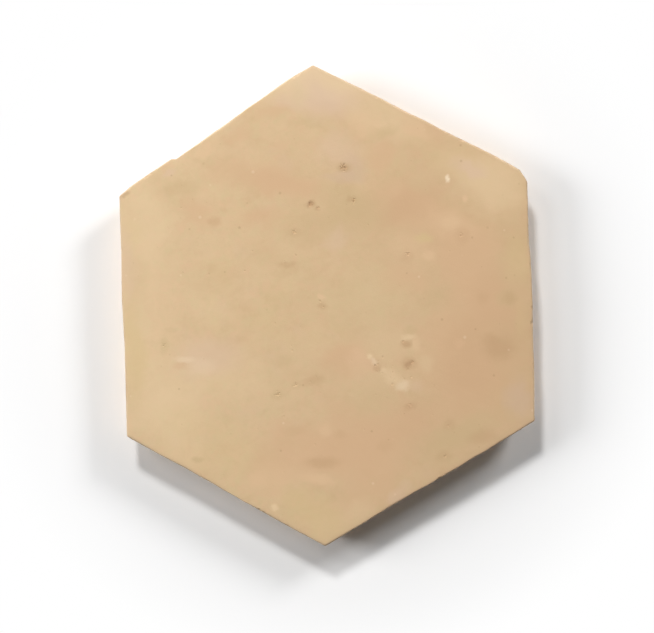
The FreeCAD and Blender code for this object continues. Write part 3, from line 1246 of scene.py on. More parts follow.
class ReliefTree:
    """Geometry nodes that carve the bites and lay the relief on the blank."""

    def __init__(self, relief: ClayRelief) -> None:
        """Makes the tree and its named inputs.

        Args:
            relief: Heights and sizes in millimetres, the inputs' values.
        """
        self.tree = bpy.data.node_groups.new("clay_relief", "GeometryNodeTree")
        self.sheet = NodeSheet(self.tree)
        self.values: dict[str, Feed] = {}
        self.identifiers: dict[str, str] = {}
        self.add_input("Blank", "NodeSocketGeometry")
        for name, value in vars(relief).items():
            self.add_input(name.replace("_", " ").capitalize(), "NodeSocketFloat", value)
        self.add_input("Pits", "NodeSocketObject")
        self.add_input("Chips", "NodeSocketObject")
        self.add_input("Clay", "NodeSocketMaterial")
        self.tree.interface.new_socket(name="Tile", in_out="OUTPUT", socket_type="NodeSocketGeometry")
        self.inputs = self.sheet.add("NodeGroupInput")

    def add_input(self, name: str, kind: str, value: Feed | None = None) -> None:
        """Adds one named input, and remembers the value that the modifier will get."""
        socket = self.tree.interface.new_socket(name=name, in_out="INPUT", socket_type=kind)
        self.identifiers[name] = socket.identifier
        if value is not None:
            self.values[name] = value

    def given(self, name: str) -> bpy.types.NodeSocket:
        """The socket of one named input."""
        return self.sheet.output(self.inputs, name)

    def attribute(self, name: str) -> bpy.types.NodeSocket:
        """The socket of one attribute of the points."""
        node = self.sheet.add("GeometryNodeInputNamedAttribute", {"data_type": "FLOAT"}, {"Name": name})
        return self.sheet.output(node, "Attribute")

    def position(self) -> bpy.types.NodeSocket:
        """Each point's position in metres."""
        return self.sheet.add("GeometryNodeInputPosition").outputs[0]

    def place(self) -> bpy.types.NodeSocket:
        """Each point's position in millimetres."""
        return self.sheet.vector("SCALE", self.position(), scale=1 / MM).outputs[0]

    def swing(self, place: Feed, name: str, grain: ClayGrain) -> bpy.types.NodeSocket:
        """Noise about zero, of the height and the size that the tree is given under one name."""
        return self.sheet.swing(place, self.given(name + " size"), self.given(name + " height"), grain.value)

    def of_nearest(self, balls: bpy.types.NodeSocket, kind: str,
                   value: bpy.types.NodeSocket) -> bpy.types.NodeSocket:
        """What the nearest ball's point holds, for each point of the clay.

        Args:
            balls: The balls' points.
            kind: Blender's name for the value's type.
            value: The value, as the balls' points hold it.

        Returns:
            The socket with the value.
        """
        sheet = self.sheet
        nearest = sheet.add("GeometryNodeSampleNearest", {"domain": "POINT"}, {"Geometry": balls}).outputs[0]
        node = sheet.add("GeometryNodeSampleIndex", {"data_type": kind, "domain": "POINT"},
                         {"Geometry": balls, "Index": nearest, "Value": value})
        return sheet.output(node, "Value")

    def carve(self, geometry: bpy.types.NodeSocket, balls: str, share: Share) -> bpy.types.NodeSocket:
        """Pushes the points that lie inside a ball out to its surface.

        Args:
            geometry: The clay so far.
            balls: Name of the input with the balls' object.
            share: The attribute that keeps how deep each point went.

        Returns:
            The carved clay.
        """
        sheet = self.sheet
        feeds = {"Object": self.given(balls)}
        info = sheet.add("GeometryNodeObjectInfo", {"transform_space": "ORIGINAL"}, feeds)
        centres = sheet.output(info, "Geometry")
        centre = self.of_nearest(centres, "FLOAT_VECTOR", self.position())
        smooth_radius = self.of_nearest(centres, "FLOAT", self.attribute(REACH))
        ragged = self.swing(self.place(), "Ragged", ClayGrain.BITE)
        radius = sheet.times(smooth_radius, sheet.maths("ADD", ragged, 1.0))
        away = sheet.vector("SUBTRACT", self.position(), centre).outputs[0]
        distance = sheet.output(sheet.vector("LENGTH", away), "Value")
        inside = sheet.add("FunctionNodeCompare", {"data_type": "FLOAT", "operation": "LESS_THAN"})
        sheet.feed(inside.inputs[0], distance)
        sheet.feed(inside.inputs[1], radius)
        depth = sheet.maths("DIVIDE", sheet.maths("SUBTRACT", radius, distance), radius, clamp=True)
        kept = sheet.add("GeometryNodeStoreNamedAttribute", {"data_type": "FLOAT", "domain": "POINT"},
                         {"Geometry": geometry, "Name": share.value, "Value": depth})
        direction = sheet.vector("NORMALIZE", away).outputs[0]
        outwards = sheet.vector("SCALE", direction, scale=radius).outputs[0]
        surface = sheet.vector("ADD", centre, outwards).outputs[0]
        moved = sheet.add("GeometryNodeSetPosition", None, {
            "Geometry": kept.outputs[0],
            "Selection": inside.outputs[0],
            "Position": surface,
        })
        return moved.outputs[0]

    def shift(self, geometry: bpy.types.NodeSocket, direction: Feed,
              height: bpy.types.NodeSocket) -> bpy.types.NodeSocket:
        """Moves every point along a direction by a height in millimetres."""
        metres = self.sheet.times(height, MM)
        offset = self.sheet.vector("SCALE", direction, scale=metres).outputs[0]
        node = self.sheet.add("GeometryNodeSetPosition", None, {"Geometry": geometry, "Offset": offset})
        return node.outputs[0]

    def face_height(self) -> bpy.types.NodeSocket:
        """Undulation, ripples and the drag of the board, which lift or lower the face and its edge."""
        sheet = self.sheet
        place = self.place()
        undulation = self.swing(place, "Undulation", ClayGrain.UNDULATION)
        ripple = self.swing(place, "Ripple", ClayGrain.RIPPLE)
        turned = sheet.add("ShaderNodeVectorRotate", {"rotation_type": "Z_AXIS"}, {
            "Vector": place,
            "Angle": sheet.maths("RADIANS", self.given("Drag turn")),
        })
        squeeze = sheet.add("ShaderNodeCombineXYZ", None, {
            "X": sheet.maths("DIVIDE", 1.0, self.given("Drag stretch")),
            "Y": 1.0,
            "Z": 1.0,
        })
        drawn_out = sheet.vector("MULTIPLY", turned.outputs[0], squeeze.outputs[0]).outputs[0]
        drag = self.swing(drawn_out, "Drag", ClayGrain.DRAG)
        height = sheet.total([undulation, ripple, drag])
        return sheet.times(height, self.attribute(Share.LIFT.value))

    def side_depth(self) -> bpy.types.NodeSocket:
        """Hammer marks and lost crumbs, which only ever go in."""
        sheet = self.sheet
        place = self.place()
        warp = self.swing(place, "Warp", ClayGrain.HAMMER_WARP)
        cells = sheet.add("ShaderNodeTexVoronoi", {"feature": "SMOOTH_F1"}, {
            "Vector": sheet.vector("ADD", place, warp).outputs[0],
            "Scale": sheet.maths("DIVIDE", 1.0, self.given("Hammer size")),
            "Smoothness": self.given("Hammer softness"),
        })
        fall = sheet.times(cells.outputs[0], self.given("Hammer fall"))
        scoop = sheet.maths("SUBTRACT", 1.0, fall, clamp=True)
        marks = sheet.times(scoop, self.given("Hammer depth"))
        lost = sheet.noise(place, self.given("Crumb size"), ClayGrain.LOST_CRUMB.value)
        crumbs = sheet.times(lost, self.given("Crumb depth"))
        depth = sheet.times(sheet.total([marks, crumbs]), self.attribute(Share.SIDE.value))
        not_bed = sheet.maths("SUBTRACT", 1.0, self.attribute(Share.BED.value))
        return sheet.times(sheet.times(depth, not_bed), -1.0)

    def bed_height(self) -> bpy.types.NodeSocket:
        """Hollows of the rough bed, which only ever go up into the clay."""
        sheet = self.sheet
        place = self.place()
        broad = sheet.noise(place, self.given("Bed size"), ClayGrain.BED_HOLLOW.value)
        hollow = sheet.ramp(broad, self.given("Bed begin"), self.given("Bed full"))
        grain = sheet.noise(place, self.given("Bed grain size"), ClayGrain.BED_GRAIN.value)
        rough = sheet.times(grain, self.given("Bed grain share"))
        height = sheet.times(sheet.maths("ADD", hollow, rough), self.given("Bed depth"))
        return sheet.times(height, self.attribute(Share.BED.value))

    def build(self) -> None:
        """Lays out the tree from the blank to the dressed tile."""
        clay = self.carve(self.given("Blank"), "Chips", Share.BREAK)
        clay = self.carve(clay, "Pits", Share.PIT)
        normal = self.sheet.add("GeometryNodeInputNormal").outputs[0]
        clay = self.shift(clay, normal, self.side_depth())
        clay = self.shift(clay, UP, self.face_height())
        clay = self.shift(clay, UP, self.bed_height())
        real = self.sheet.add("GeometryNodeRealizeInstances", None, {"Geometry": clay})
        dressed = self.sheet.add("GeometryNodeSetMaterial", None, {
            "Geometry": real.outputs[0],
            "Material": self.given("Clay"),
        })
        self.sheet.end("NodeGroupOutput", dressed.outputs[0])

    def fit(self, piece: bpy.types.Object, helpers: dict[str, bpy.types.Object],
            clay: bpy.types.Material) -> bpy.types.Modifier:
        """Puts the tree on a piece and sets its inputs by their identifiers.

        Args:
            piece: The blank.
            helpers: The balls' objects by the name of their input.
            clay: The clay's material.

        Returns:
            The modifier.
        """
        modifier = piece.modifiers.new("clay_relief", "NODES")
        modifier.node_group = self.tree
        for name, value in {**self.values, **helpers, "Clay": clay}.items():
            modifier[self.identifiers[name]] = value
        return modifier


@dataclass(frozen=True)
class Mottle:
    """One layer of the clay's uneven colour.

    Attributes:
        tint: The colour that it brings.
        size: Width of its clouds.
        low: Noise value at which it begins.
        high: Noise value at which it is full.
        strength: How much of the tint shows where it is full.
        seed: Shifts its pattern.
        detail: Finer octaves on its clouds.
        roughness: How strong the finer octaves are.
        distortion: How much its clouds swirl.
        stretch: How many times longer its clouds are than wide.
        turn: Which way they are drawn out, anticlockwise from the right.
    """

    tint: Tint
    size: float
    low: float
    high: float
    strength: float
    seed: float
    detail: float = 3.0
    roughness: float = 0.55
    distortion: float = 0.4
    stretch: float = 1.0
    turn: float = 0.0

    def grain(self) -> Grain:
        """How its noise is drawn."""
        return Grain(self.seed, self.detail, self.roughness, self.distortion)


@dataclass(frozen=True)
class Specks:
    """One kind of small specks, at most one in each cell of a scatter.

    Attributes:
        tint: Their colour.
        gap: Width of the cells.
        size: Radius of a usual speck, as a share of its cell.
        rareness: Share of the cells that stay empty.
        strength: How much of the tint shows.
        seed: Shifts the pattern.
        least: What a speck's own draw, 0 to 1, is added to for its size.
        core: Share of a speck's radius within which it is at full strength.
        rim: The same for where it has faded out.
        fade: How far above the rareness a cell's draw has to be for full strength.
    """

    tint: Tint
    gap: float
    size: float
    rareness: float
    strength: float
    seed: float
    least: float = 0.4
    core: float = 0.5
    rim: float = 1.1
    fade: float = 0.06


@dataclass(frozen=True)
class Stray:
    """One way in which a pattern's outlines are made ragged.

    Attributes:
        size: Length of a stray.
        reach: How far it goes.
    """

    size: float
    reach: float


@dataclass(frozen=True)
class Mark:
    """One spot, smudge or patch of colour with a place of its own on the face.

    Attributes:
        x: Place to the right of the tile's middle.
        y: Place up from the tile's middle.
        wide: Half its width.
        high: Half its height.
        tint: Its colour.
        strength: How much of the tint shows in its middle.
        turn: Which way it is turned, anticlockwise.
    """

    x: float
    y: float
    wide: float
    high: float
    tint: Tint
    strength: float
    turn: float = 0.0


# The face's uneven colour, broad clouds first and the finest grain last.
MOTTLES = (
    Mottle(Tint.ROSE, 24.0, 0.48, 0.72, 0.30, 40.3, detail=4.0, distortion=0.8),
    Mottle(Tint.STRAW, 28.0, 0.48, 0.70, 0.30, 127.1, detail=4.0, distortion=0.8),
    Mottle(Tint.OLIVE, 14.0, 0.50, 0.74, 0.30, 238.7, detail=4.0, distortion=0.6),
    Mottle(Tint.TAN, 17.0, 0.52, 0.76, 0.26, 89.9, detail=4.0, distortion=0.6),
    Mottle(Tint.CREAM, 12.0, 0.52, 0.76, 0.30, 285.2, detail=4.0, distortion=0.5),
    Mottle(Tint.LILAC, 8.0, 0.52, 0.76, 0.34, 102.3),
    Mottle(Tint.BLUSH, 10.0, 0.50, 0.74, 0.34, 65.1),
    Mottle(Tint.SAGE, 9.0, 0.50, 0.74, 0.34, 189.1),
    Mottle(Tint.ROSE, 6.0, 0.50, 0.76, 0.32, 179.8),
    Mottle(Tint.OLIVE, 5.0, 0.50, 0.76, 0.30, 251.1),
    Mottle(Tint.OLIVE, 9.0, 0.54, 0.62, 0.12, 120.9, detail=4.0),
    Mottle(Tint.CREAM, 8.0, 0.56, 0.63, 0.12, 229.4, detail=4.0),
    Mottle(Tint.TAN, 5.5, 0.56, 0.63, 0.10, 52.7, detail=4.0),
    Mottle(Tint.TAN, 4.6, 0.52, 0.78, 0.20, 198.4, stretch=3.0, turn=24.0),
    Mottle(Tint.CREAM, 3.4, 0.54, 0.80, 0.20, 272.8, stretch=2.5, turn=24.0),
    Mottle(Tint.BLUSH, 5.0, 0.50, 0.74, 0.50, 145.7),
    Mottle(Tint.SAGE, 4.4, 0.50, 0.74, 0.50, 303.8),
    Mottle(Tint.BLUSH, 2.6, 0.50, 0.76, 0.44, 49.6),
    Mottle(Tint.SAGE, 2.2, 0.50, 0.76, 0.44, 161.2),
    Mottle(Tint.OLIVE, 1.7, 0.50, 0.80, 0.16, 21.7),
    Mottle(Tint.BROWN, 0.75, 0.54, 0.86, 0.10, 68.2, distortion=0.0),
    Mottle(Tint.CREAM, 0.60, 0.54, 0.86, 0.12, 220.1, distortion=0.0),
)

# The large patches where one clay shows more than another, each laid over those before it. Some also paint
# light and shade: the cream band down the left side is partly the clay's own paler band and partly painted
# light, and the tan at the lower right is painted shade.
PATCHES_AND_PAINTED_LIGHT = (
    # Painted light: this cream band down the left side, partly the clay's own paler band, lightens the face
    # where more light falls.
    Mark(-58, 2, 12, 50, Tint.CREAM, 0.34),
    Mark(-61, -12, 4.5, 20, Tint.STRAW, 0.50),
    Mark(-60, 25, 4, 7, Tint.STRAW, 0.28),
    Mark(-60, 12, 5, 10, Tint.OLIVE, 0.18),
    Mark(-38, 36, 8, 6, Tint.CREAM, 0.14),
    Mark(-46, -44, 9, 7, Tint.CREAM, 0.28, turn=-30),
    Mark(-55, 28, 8, 14, Tint.CREAM, 0.30),
    Mark(-50, -29, 13, 13, Tint.CREAM, 0.48, turn=-30),
    Mark(0, 70, 20, 9, Tint.CREAM, 0.60),
    Mark(20, 58, 18, 7, Tint.CREAM, 0.38, turn=-29),
    Mark(54, 36, 13, 11, Tint.CREAM, 0.52, turn=-30),
    Mark(44, 42, 12, 6, Tint.CREAM, 0.20, turn=-29),
    # Painted shade: these two tan patches darken the lower right, where less light falls.
    Mark(54, -16, 20, 26, Tint.TAN, 0.34),
    Mark(36, -34, 16, 14, Tint.TAN, 0.14),
    Mark(-17, 41, 13, 6.5, Tint.ROSE, 0.85, turn=-14),
    Mark(-6, 36.5, 9, 4.5, Tint.ROSE, 0.70, turn=-8),
    Mark(-30, 43, 8, 5.5, Tint.ROSE, 0.45),
    Mark(-40, 31, 6.5, 6.5, Tint.ROSE, 0.60),
    Mark(-20, 29, 7, 4, Tint.ROSE, 0.65, turn=10),
    Mark(27, 30, 18, 10, Tint.ROSE, 0.85, turn=-12),
    Mark(25, 29, 10, 6, Tint.RUSSET, 0.40, turn=30),
    Mark(32, 35, 7, 4, Tint.RUSSET, 0.35, turn=-20),
    Mark(44, 16, 15, 13, Tint.ROSE, 0.80, turn=-35),
    Mark(40, 24, 9, 5, Tint.PEACH, 0.30, turn=-20),
    Mark(24, 7, 11, 5.5, Tint.ROSE, 0.75, turn=-8),
    Mark(49, 0, 13, 13, Tint.ROSE, 0.80),
    Mark(52, -2, 9, 14, Tint.RUSSET, 0.30),
    Mark(37, -10, 10, 8, Tint.ROSE, 0.70),
    Mark(18, -13, 11, 8, Tint.BUFF, 0.45),
    Mark(14, 3, 16, 12, Tint.SAGE, 0.30),
    Mark(-4, -14, 14, 8, Tint.BUFF, 0.30),
    Mark(-37, 6, 12, 18, Tint.CREAM, 0.14),
    Mark(5, -17, 11, 6.5, Tint.ROSE, 0.80),
    Mark(10, -18, 4.5, 5, Tint.BLUSH, 0.55),
    Mark(43, -23, 16, 17, Tint.ROSE, 0.80),
    Mark(44, -24, 13, 11, Tint.RUSSET, 0.35),
    Mark(20, -38, 18, 7.5, Tint.ROSE, 0.70, turn=12),
    Mark(25, -40, 9, 12, Tint.RUSSET, 0.22, turn=-30),
    Mark(42, -12, 8, 8, Tint.RUSSET, 0.36),
    Mark(4, -34, 8, 6, Tint.ROSE, 0.55),
    Mark(2, -46, 27, 11, Tint.ROSE, 0.85, turn=4),
    Mark(-20, -51, 9, 11, Tint.ROSE, 0.60),
    Mark(-19, -54, 8, 8, Tint.PEACH, 0.40),
    Mark(12, -56, 13, 9, Tint.ROSE, 0.60, turn=28),
    Mark(14, -45, 10, 6, Tint.ROSE, 0.30),
    Mark(-15, -40, 8, 6, Tint.ROSE, 0.50),
    Mark(-10, -50, 8, 9, Tint.PEACH, 0.16),
    Mark(19.5, 47, 4, 7, Tint.ROSE, 0.65),
    Mark(33, 53.5, 9, 4, Tint.ROSE, 0.44, turn=-28),
    Mark(13, 57.5, 7, 4.5, Tint.PEACH, 0.40, turn=-20),
    Mark(30.5, 54.2, 5.5, 3.2, Tint.PEACH, 0.44, turn=-28),
    Mark(-36, 51, 5, 3, Tint.PEACH, 0.55, turn=30),
    Mark(-14, 61.5, 5, 3, Tint.ROSE, 0.50, turn=30),
    Mark(-26, 54.5, 5, 3, Tint.ROSE, 0.50, turn=30),
    Mark(10, 28.5, 12, 8, Tint.OLIVE, 0.62),
    Mark(-5, 24, 16, 8, Tint.OLIVE, 0.28),
    Mark(58.5, 14, 4.5, 18, Tint.OLIVE, 0.24),
    Mark(60, 13, 4, 9, Tint.STRAW, 0.26),
    Mark(60, -5, 4, 5, Tint.OLIVE, 0.26),
    Mark(31, 36, 5, 4, Tint.SAGE, 0.26),
    Mark(31, 14, 5, 5, Tint.PEACH, 0.18),
    Mark(40, 44, 15, 6, Tint.STRAW, 0.16, turn=-28),
    Mark(-35, 9, 11, 5, Tint.OLIVE, 0.22),
    Mark(-20, 15, 8, 7, Tint.OLIVE, 0.22),
    Mark(-44, 38.5, 8, 3.2, Tint.OLIVE, 0.50, turn=10),
    Mark(13, -28, 10, 7, Tint.OLIVE, 0.32, turn=-10),
    Mark(14, -25, 10, 5, Tint.CREAM, 0.14),
    Mark(34, 0.5, 8, 5, Tint.OLIVE, 0.32, turn=25),
    Mark(40, -42.5, 15, 7, Tint.OLIVE, 0.70, turn=26),
    Mark(-12, -19, 17, 9, Tint.OLIVE, 0.10),
    Mark(-12, -59, 6.5, 5, Tint.STRAW, 0.16),
    Mark(0, -68, 15, 8, Tint.CREAM, 0.14),
    Mark(8, -65, 7, 5, Tint.CREAM, 0.20, turn=30),
    Mark(-36, -43, 22, 11, Tint.STRAW, 0.22, turn=-30),
    Mark(-22, -24, 12, 8, Tint.CREAM, 0.12),
    Mark(-38, -20, 20, 10, Tint.CREAM, 0.22),
    Mark(-5, -66, 13, 7, Tint.STRAW, 0.40, turn=-30),
    Mark(-62.5, 16, 3, 14, Tint.LILAC, 0.40),
    Mark(20, 54.5, 6, 3, Tint.OLIVE, 0.60),
    Mark(-6, 57, 5.5, 2.2, Tint.OLIVE, 0.30),
    Mark(1, 63.5, 9.5, 7.5, Tint.LILAC, 0.70),
    Mark(0, 64.5, 16, 5.5, Tint.LILAC, 0.40),
    Mark(-10, 65, 5, 4, Tint.LILAC, 0.40),
    Mark(10, 65, 5, 4, Tint.LILAC, 0.24),
    Mark(0.5, 65, 5, 5, Tint.MAUVE, 0.20),
    Mark(0, 69, 13, 7, Tint.LIME, 0.10),
    Mark(0, 71, 8, 5, Tint.LILAC, 0.25),
    Mark(-6, 66, 4, 3.5, Tint.SAGE, 0.30),
    Mark(6, 49, 9, 6, Tint.LILAC, 0.45),
    Mark(10.5, 43.5, 6, 6, Tint.MAUVE, 0.42),
    Mark(6.5, 39.8, 6.5, 3, Tint.MAUVE, 0.40),
    Mark(5, 35, 10, 4, Tint.OLIVE, 0.28),
    Mark(4, 20.5, 4.5, 5, Tint.LILAC, 0.45),
    Mark(47, 41, 7.5, 3.2, Tint.LILAC, 0.75, turn=-25),
    Mark(59.5, -32.5, 6, 9, Tint.MAUVE, 0.52),
    Mark(-38, -14.5, 12, 8, Tint.LILAC, 0.60, turn=8),
    Mark(21, -60, 4.5, 2.5, Tint.LILAC, 0.50, turn=30),
)

# The spots and smudges that stand out, each measured on the tile. The brown and iron marks that lie over pits
# are painted shade in the pits.
MARKS_AND_PIT_SHADE = (
    Mark(-34.6, 27.4, 2.8, 2, Tint.RUSSET, 0.55),
    Mark(43.3, 20.5, 2.8, 3.4, Tint.RUSSET, 0.40),
    Mark(25.6, 14.8, 2.8, 2.6, Tint.BROWN, 0.16),
    Mark(32.5, 14.5, 2.6, 2, Tint.PEACH, 0.45),
    Mark(26, 18, 7, 5, Tint.PEACH, 0.30),
    Mark(39.5, 24.5, 4, 2.4, Tint.PEACH, 0.42),
    Mark(31, 20, 3.6, 2, Tint.STRAW, 0.60),
    Mark(-9.5, 23.2, 3.2, 1.7, Tint.BROWN, 0.20),
    Mark(-11.9, 13.3, 3.8, 1.4, Tint.BROWN, 0.34),
    Mark(-36, 13, 2.2, 1.8, Tint.BROWN, 0.14),
    Mark(8.8, 33.1, 3, 1.8, Tint.OLIVE, 0.60),
    Mark(8.7, 33.1, 1.8, 1.2, Tint.BROWN, 0.36),
    Mark(6.9, 43.1, 3, 2, Tint.OLIVE, 0.50),
    # Painted shade in the big pit: this brown mark and the iron core below it.
    Mark(6.9, 43.1, 2.7, 1.8, Tint.BROWN, 0.36),
    Mark(6.7, 43.1, 1.6, 1.1, Tint.IRON, 0.20),
    Mark(-4, 32, 2, 1.6, Tint.BROWN, 0.54),
    Mark(-4.1, 32, 1.2, 0.9, Tint.IRON, 0.26),
    Mark(-1.7, 30.6, 1.3, 1, Tint.BROWN, 0.42),
    Mark(-1.5, -0.3, 2, 1.4, Tint.BROWN, 0.36),
    Mark(39.2, 38.3, 0.80, 1.35, Tint.LIME, 0.80),
    Mark(44.6, 32, 1.2, 1.2, Tint.PEACH, 0.60),
    Mark(-1.6, 2.8, 1.6, 1.1, Tint.PEACH, 0.70),
    Mark(-48, 43.3, 2.6, 1.4, Tint.LILAC, 0.60, turn=30),
    Mark(-62.6, 37, 2.4, 1, Tint.IRON, 0.36, turn=30),
    Mark(-40, -18, 5, 3.4, Tint.LIME, 0.16),
    Mark(-46.8, -17.3, 3, 1.3, Tint.ROSE, 0.45),
    Mark(-45.3, -15.4, 4, 1.3, Tint.LIME, 0.28, turn=-3),
    Mark(-51.5, -10.8, 1.8, 3.2, Tint.OLIVE, 0.48),
    Mark(-49, -6, 2.6, 1.2, Tint.OLIVE, 0.30),
    Mark(-42.5, -47, 2.4, 1.4, Tint.OLIVE, 0.70),
    Mark(-5, -23.4, 4.4, 1.9, Tint.BROWN, 0.28, turn=14),
    Mark(-16.7, -27.5, 2.4, 1.9, Tint.OLIVE, 0.48),
    Mark(-14.5, -17, 3.4, 2.6, Tint.OLIVE, 0.40),
    Mark(-3.6, -49.3, 6.8, 2.3, Tint.BROWN, 0.34, turn=-3),
    Mark(-12, -39, 5, 2, Tint.BROWN, 0.10),
    Mark(-2, -39.3, 2.8, 2.4, Tint.PEACH, 0.40),
    Mark(2.6, -40.6, 2.4, 1.8, Tint.BROWN, 0.14),
    Mark(-5, -54.3, 7, 2, Tint.PEACH, 0.55, turn=-12),
    Mark(-24, -54, 3.6, 3, Tint.PEACH, 0.45),
    Mark(-19, -62.8, 1.4, 1.3, Tint.CREAM, 0.85),
    Mark(16.5, -45, 3.4, 2.6, Tint.RUSSET, 0.30),
    Mark(12.8, -16.5, 1.1, 1.3, Tint.CREAM, 0.80, turn=30),
    Mark(14.2, -18.2, 1.5, 1, Tint.LIME, 0.28, turn=-55),
    Mark(15, -20.4, 1.6, 1.3, Tint.BROWN, 0.36),
    Mark(25.2, -10.8, 2.8, 1.4, Tint.CREAM, 0.45),
    Mark(27.4, -13.4, 1.8, 2.8, Tint.PEACH, 0.50),
    Mark(24.4, -12.9, 2, 1.6, Tint.BROWN, 0.58),
    Mark(25.8, -8.6, 2.6, 1.8, Tint.OLIVE, 0.55),
    Mark(25, -19.2, 2.7, 2.3, Tint.BROWN, 0.56),
    Mark(24.9, -19.3, 1.3, 1.1, Tint.IRON, 0.20),
    Mark(30.6, -19.5, 2.8, 3.4, Tint.BUFF, 0.50),
    Mark(19.6, -23, 4, 3, Tint.CREAM, 0.42, turn=-40),
    Mark(23, -26, 2.8, 2, Tint.LIME, 0.38, turn=15),
    Mark(17, -21.4, 1.3, 1.1, Tint.CREAM, 0.40),
    Mark(27.2, -26.4, 2.6, 2.4, Tint.LILAC, 0.30),
    Mark(24.9, -32.6, 2.6, 1.5, Tint.BROWN, 0.34, turn=16),
    Mark(40.8, -13.6, 2.2, 2.2, Tint.ROSE, 0.75),
    Mark(48.9, 0.5, 2.6, 2.2, Tint.RUSSET, 0.40),
    Mark(56.5, 0.2, 4.2, 3.6, Tint.OLIVE, 0.60),
    Mark(57.3, 0.3, 3, 2.4, Tint.BROWN, 0.28),
    Mark(53.4, -15.4, 6.6, 5, Tint.BROWN, 0.40),
    Mark(50.4, -12.4, 3.6, 2.8, Tint.BROWN, 0.20),
    Mark(60.5, -6, 2, 7, Tint.STRAW, 0.16),
    Mark(37, -38.8, 2.6, 2.4, Tint.BROWN, 0.22),
    Mark(47, -43, 5.5, 2.8, Tint.BROWN, 0.30, turn=10),
    Mark(35, -48.6, 3.4, 2.2, Tint.BROWN, 0.26),
)

# Strays, broad ones first, that make the outlines of patches, marks and specks ragged.
PATCH_STRAYS = (Stray(11.0, 4.5), Stray(3.0, 1.3))
MARK_STRAYS = (Stray(2.4, 0.9), Stray(0.6, 0.25))
RAW_STRAYS = (Stray(0.8, 0.30),)

# Burnt and limy specks, few and faint on the smooth face, and more of them in the raw clay.
FACE_SPECKS = (
    Specks(Tint.IRON, 2.6, 0.15, 0.84, 0.24, 3.0),
    Specks(Tint.LIME, 3.4, 0.14, 0.86, 0.22, 8.0),
)
RAW_SPECKS = (
    Specks(Tint.IRON, 1.7, 0.24, 0.62, 0.60, 21.0),
    Specks(Tint.LIME, 2.8, 0.19, 0.76, 0.50, 33.0),
)

# The raw clay of the sides and the bed, and the brown patches along the worn edge.
RAW_MOTTLES = (
    Mottle(Tint.STRAW, 34.0, 0.42, 0.62, 0.55, 60.0, roughness=0.5, distortion=0.0),
    Mottle(Tint.ROSE, 15.0, 0.46, 0.62, 0.60, 70.0, detail=4.0, roughness=0.5, distortion=0.0),
    Mottle(Tint.TAN, 9.0, 0.40, 0.68, 0.55, 40.0, detail=4.0, roughness=0.5, distortion=0.0),
    Mottle(Tint.BROWN, 1.4, 0.44, 0.72, 0.40, 50.0, roughness=0.5, distortion=0.0),
)
WORN_MOTTLE = Mottle(Tint.BROWN, 5.0, 0.42, 0.68, 0.45, 12.0, roughness=0.6, distortion=0.0)


class Coat:
    """A colour that is built up layer by layer, each laid over what is there."""

    def __init__(self, sheet: NodeSheet, place: Feed, ground: Tint) -> None:
        """Starts on a plain ground.

        Args:
            sheet: The material's tree.
            place: Position in millimetres.
            ground: The colour under all layers.
        """
        self.sheet = sheet
        self.place = place
        self.colour: Feed = ground.value

    def lay(self, share: Feed, tint: Tint) -> None:
        """Lays a tint over the colour so far, by a share from 0 to 1."""
        self.colour = self.sheet.blend(share, self.colour, tint.value)

    def cloud(self, mottle: Mottle) -> bpy.types.NodeSocket:
        """How much of a mottle shows at each place."""
        place = self.place
        if mottle.stretch != 1.0:
            place = self.sheet.turned(place, mottle.turn, (mottle.stretch, 1.0, 1.0))
        value = self.sheet.noise(place, mottle.size, mottle.grain())
        return self.sheet.ramp(value, mottle.low, mottle.high, 0.0, mottle.strength)

    def mottle(self, mottles: Sequence[Mottle]) -> None:
        """Lays mottles, one after another."""
        for mottle in mottles:
            self.lay(self.cloud(mottle), mottle.tint)

    def strayed(self, strays: Sequence[Stray]) -> Feed:
        """Strays the position by noise, so that what is drawn there gets a ragged outline.

        Args:
            strays: The strays, one on top of another.

        Returns:
            The socket with the strayed position.
        """
        sheet = self.sheet
        place = self.place
        middle = (NOISE_MIDDLE, NOISE_MIDDLE, NOISE_MIDDLE)
        for stray in strays:
            feeds = {"Vector": place, "Scale": 1 / stray.size}
            node = sheet.add("ShaderNodeTexNoise", {"noise_dimensions": "3D"}, feeds)
            centred = sheet.vector("SUBTRACT", node.outputs["Color"], middle).outputs[0]
            offset = sheet.vector("SCALE", centred, scale=stray.reach / NOISE_MIDDLE).outputs[0]
            place = sheet.vector("ADD", place, offset).outputs[0]
        return place

    def speck(self, kinds: Sequence[Specks], strays: Sequence[Stray] = ()) -> None:
        """Scatters specks.

        Args:
            kinds: The kinds of specks, one laid after another.
            strays: What makes their outlines ragged.
        """
        sheet = self.sheet
        place = self.strayed(strays)
        for kind in kinds:
            shifted = sheet.vector("ADD", place, (kind.seed, kind.seed, kind.seed)).outputs[0]
            cells = sheet.add("ShaderNodeTexVoronoi", None, {"Vector": shifted, "Scale": 1 / kind.gap})
            draw = sheet.add("ShaderNodeSeparateColor", None, {"Color": cells.outputs["Color"]})
            chosen = sheet.ramp(draw.outputs[0], kind.rareness, kind.rareness + kind.fade)
            width = sheet.times(sheet.maths("ADD", draw.outputs[1], kind.least), kind.size)
            near = sheet.maths("DIVIDE", cells.outputs["Distance"], width)
            spot = sheet.ramp(near, kind.core, kind.rim, kind.strength, 0.0)
            self.lay(sheet.times(spot, chosen), kind.tint)


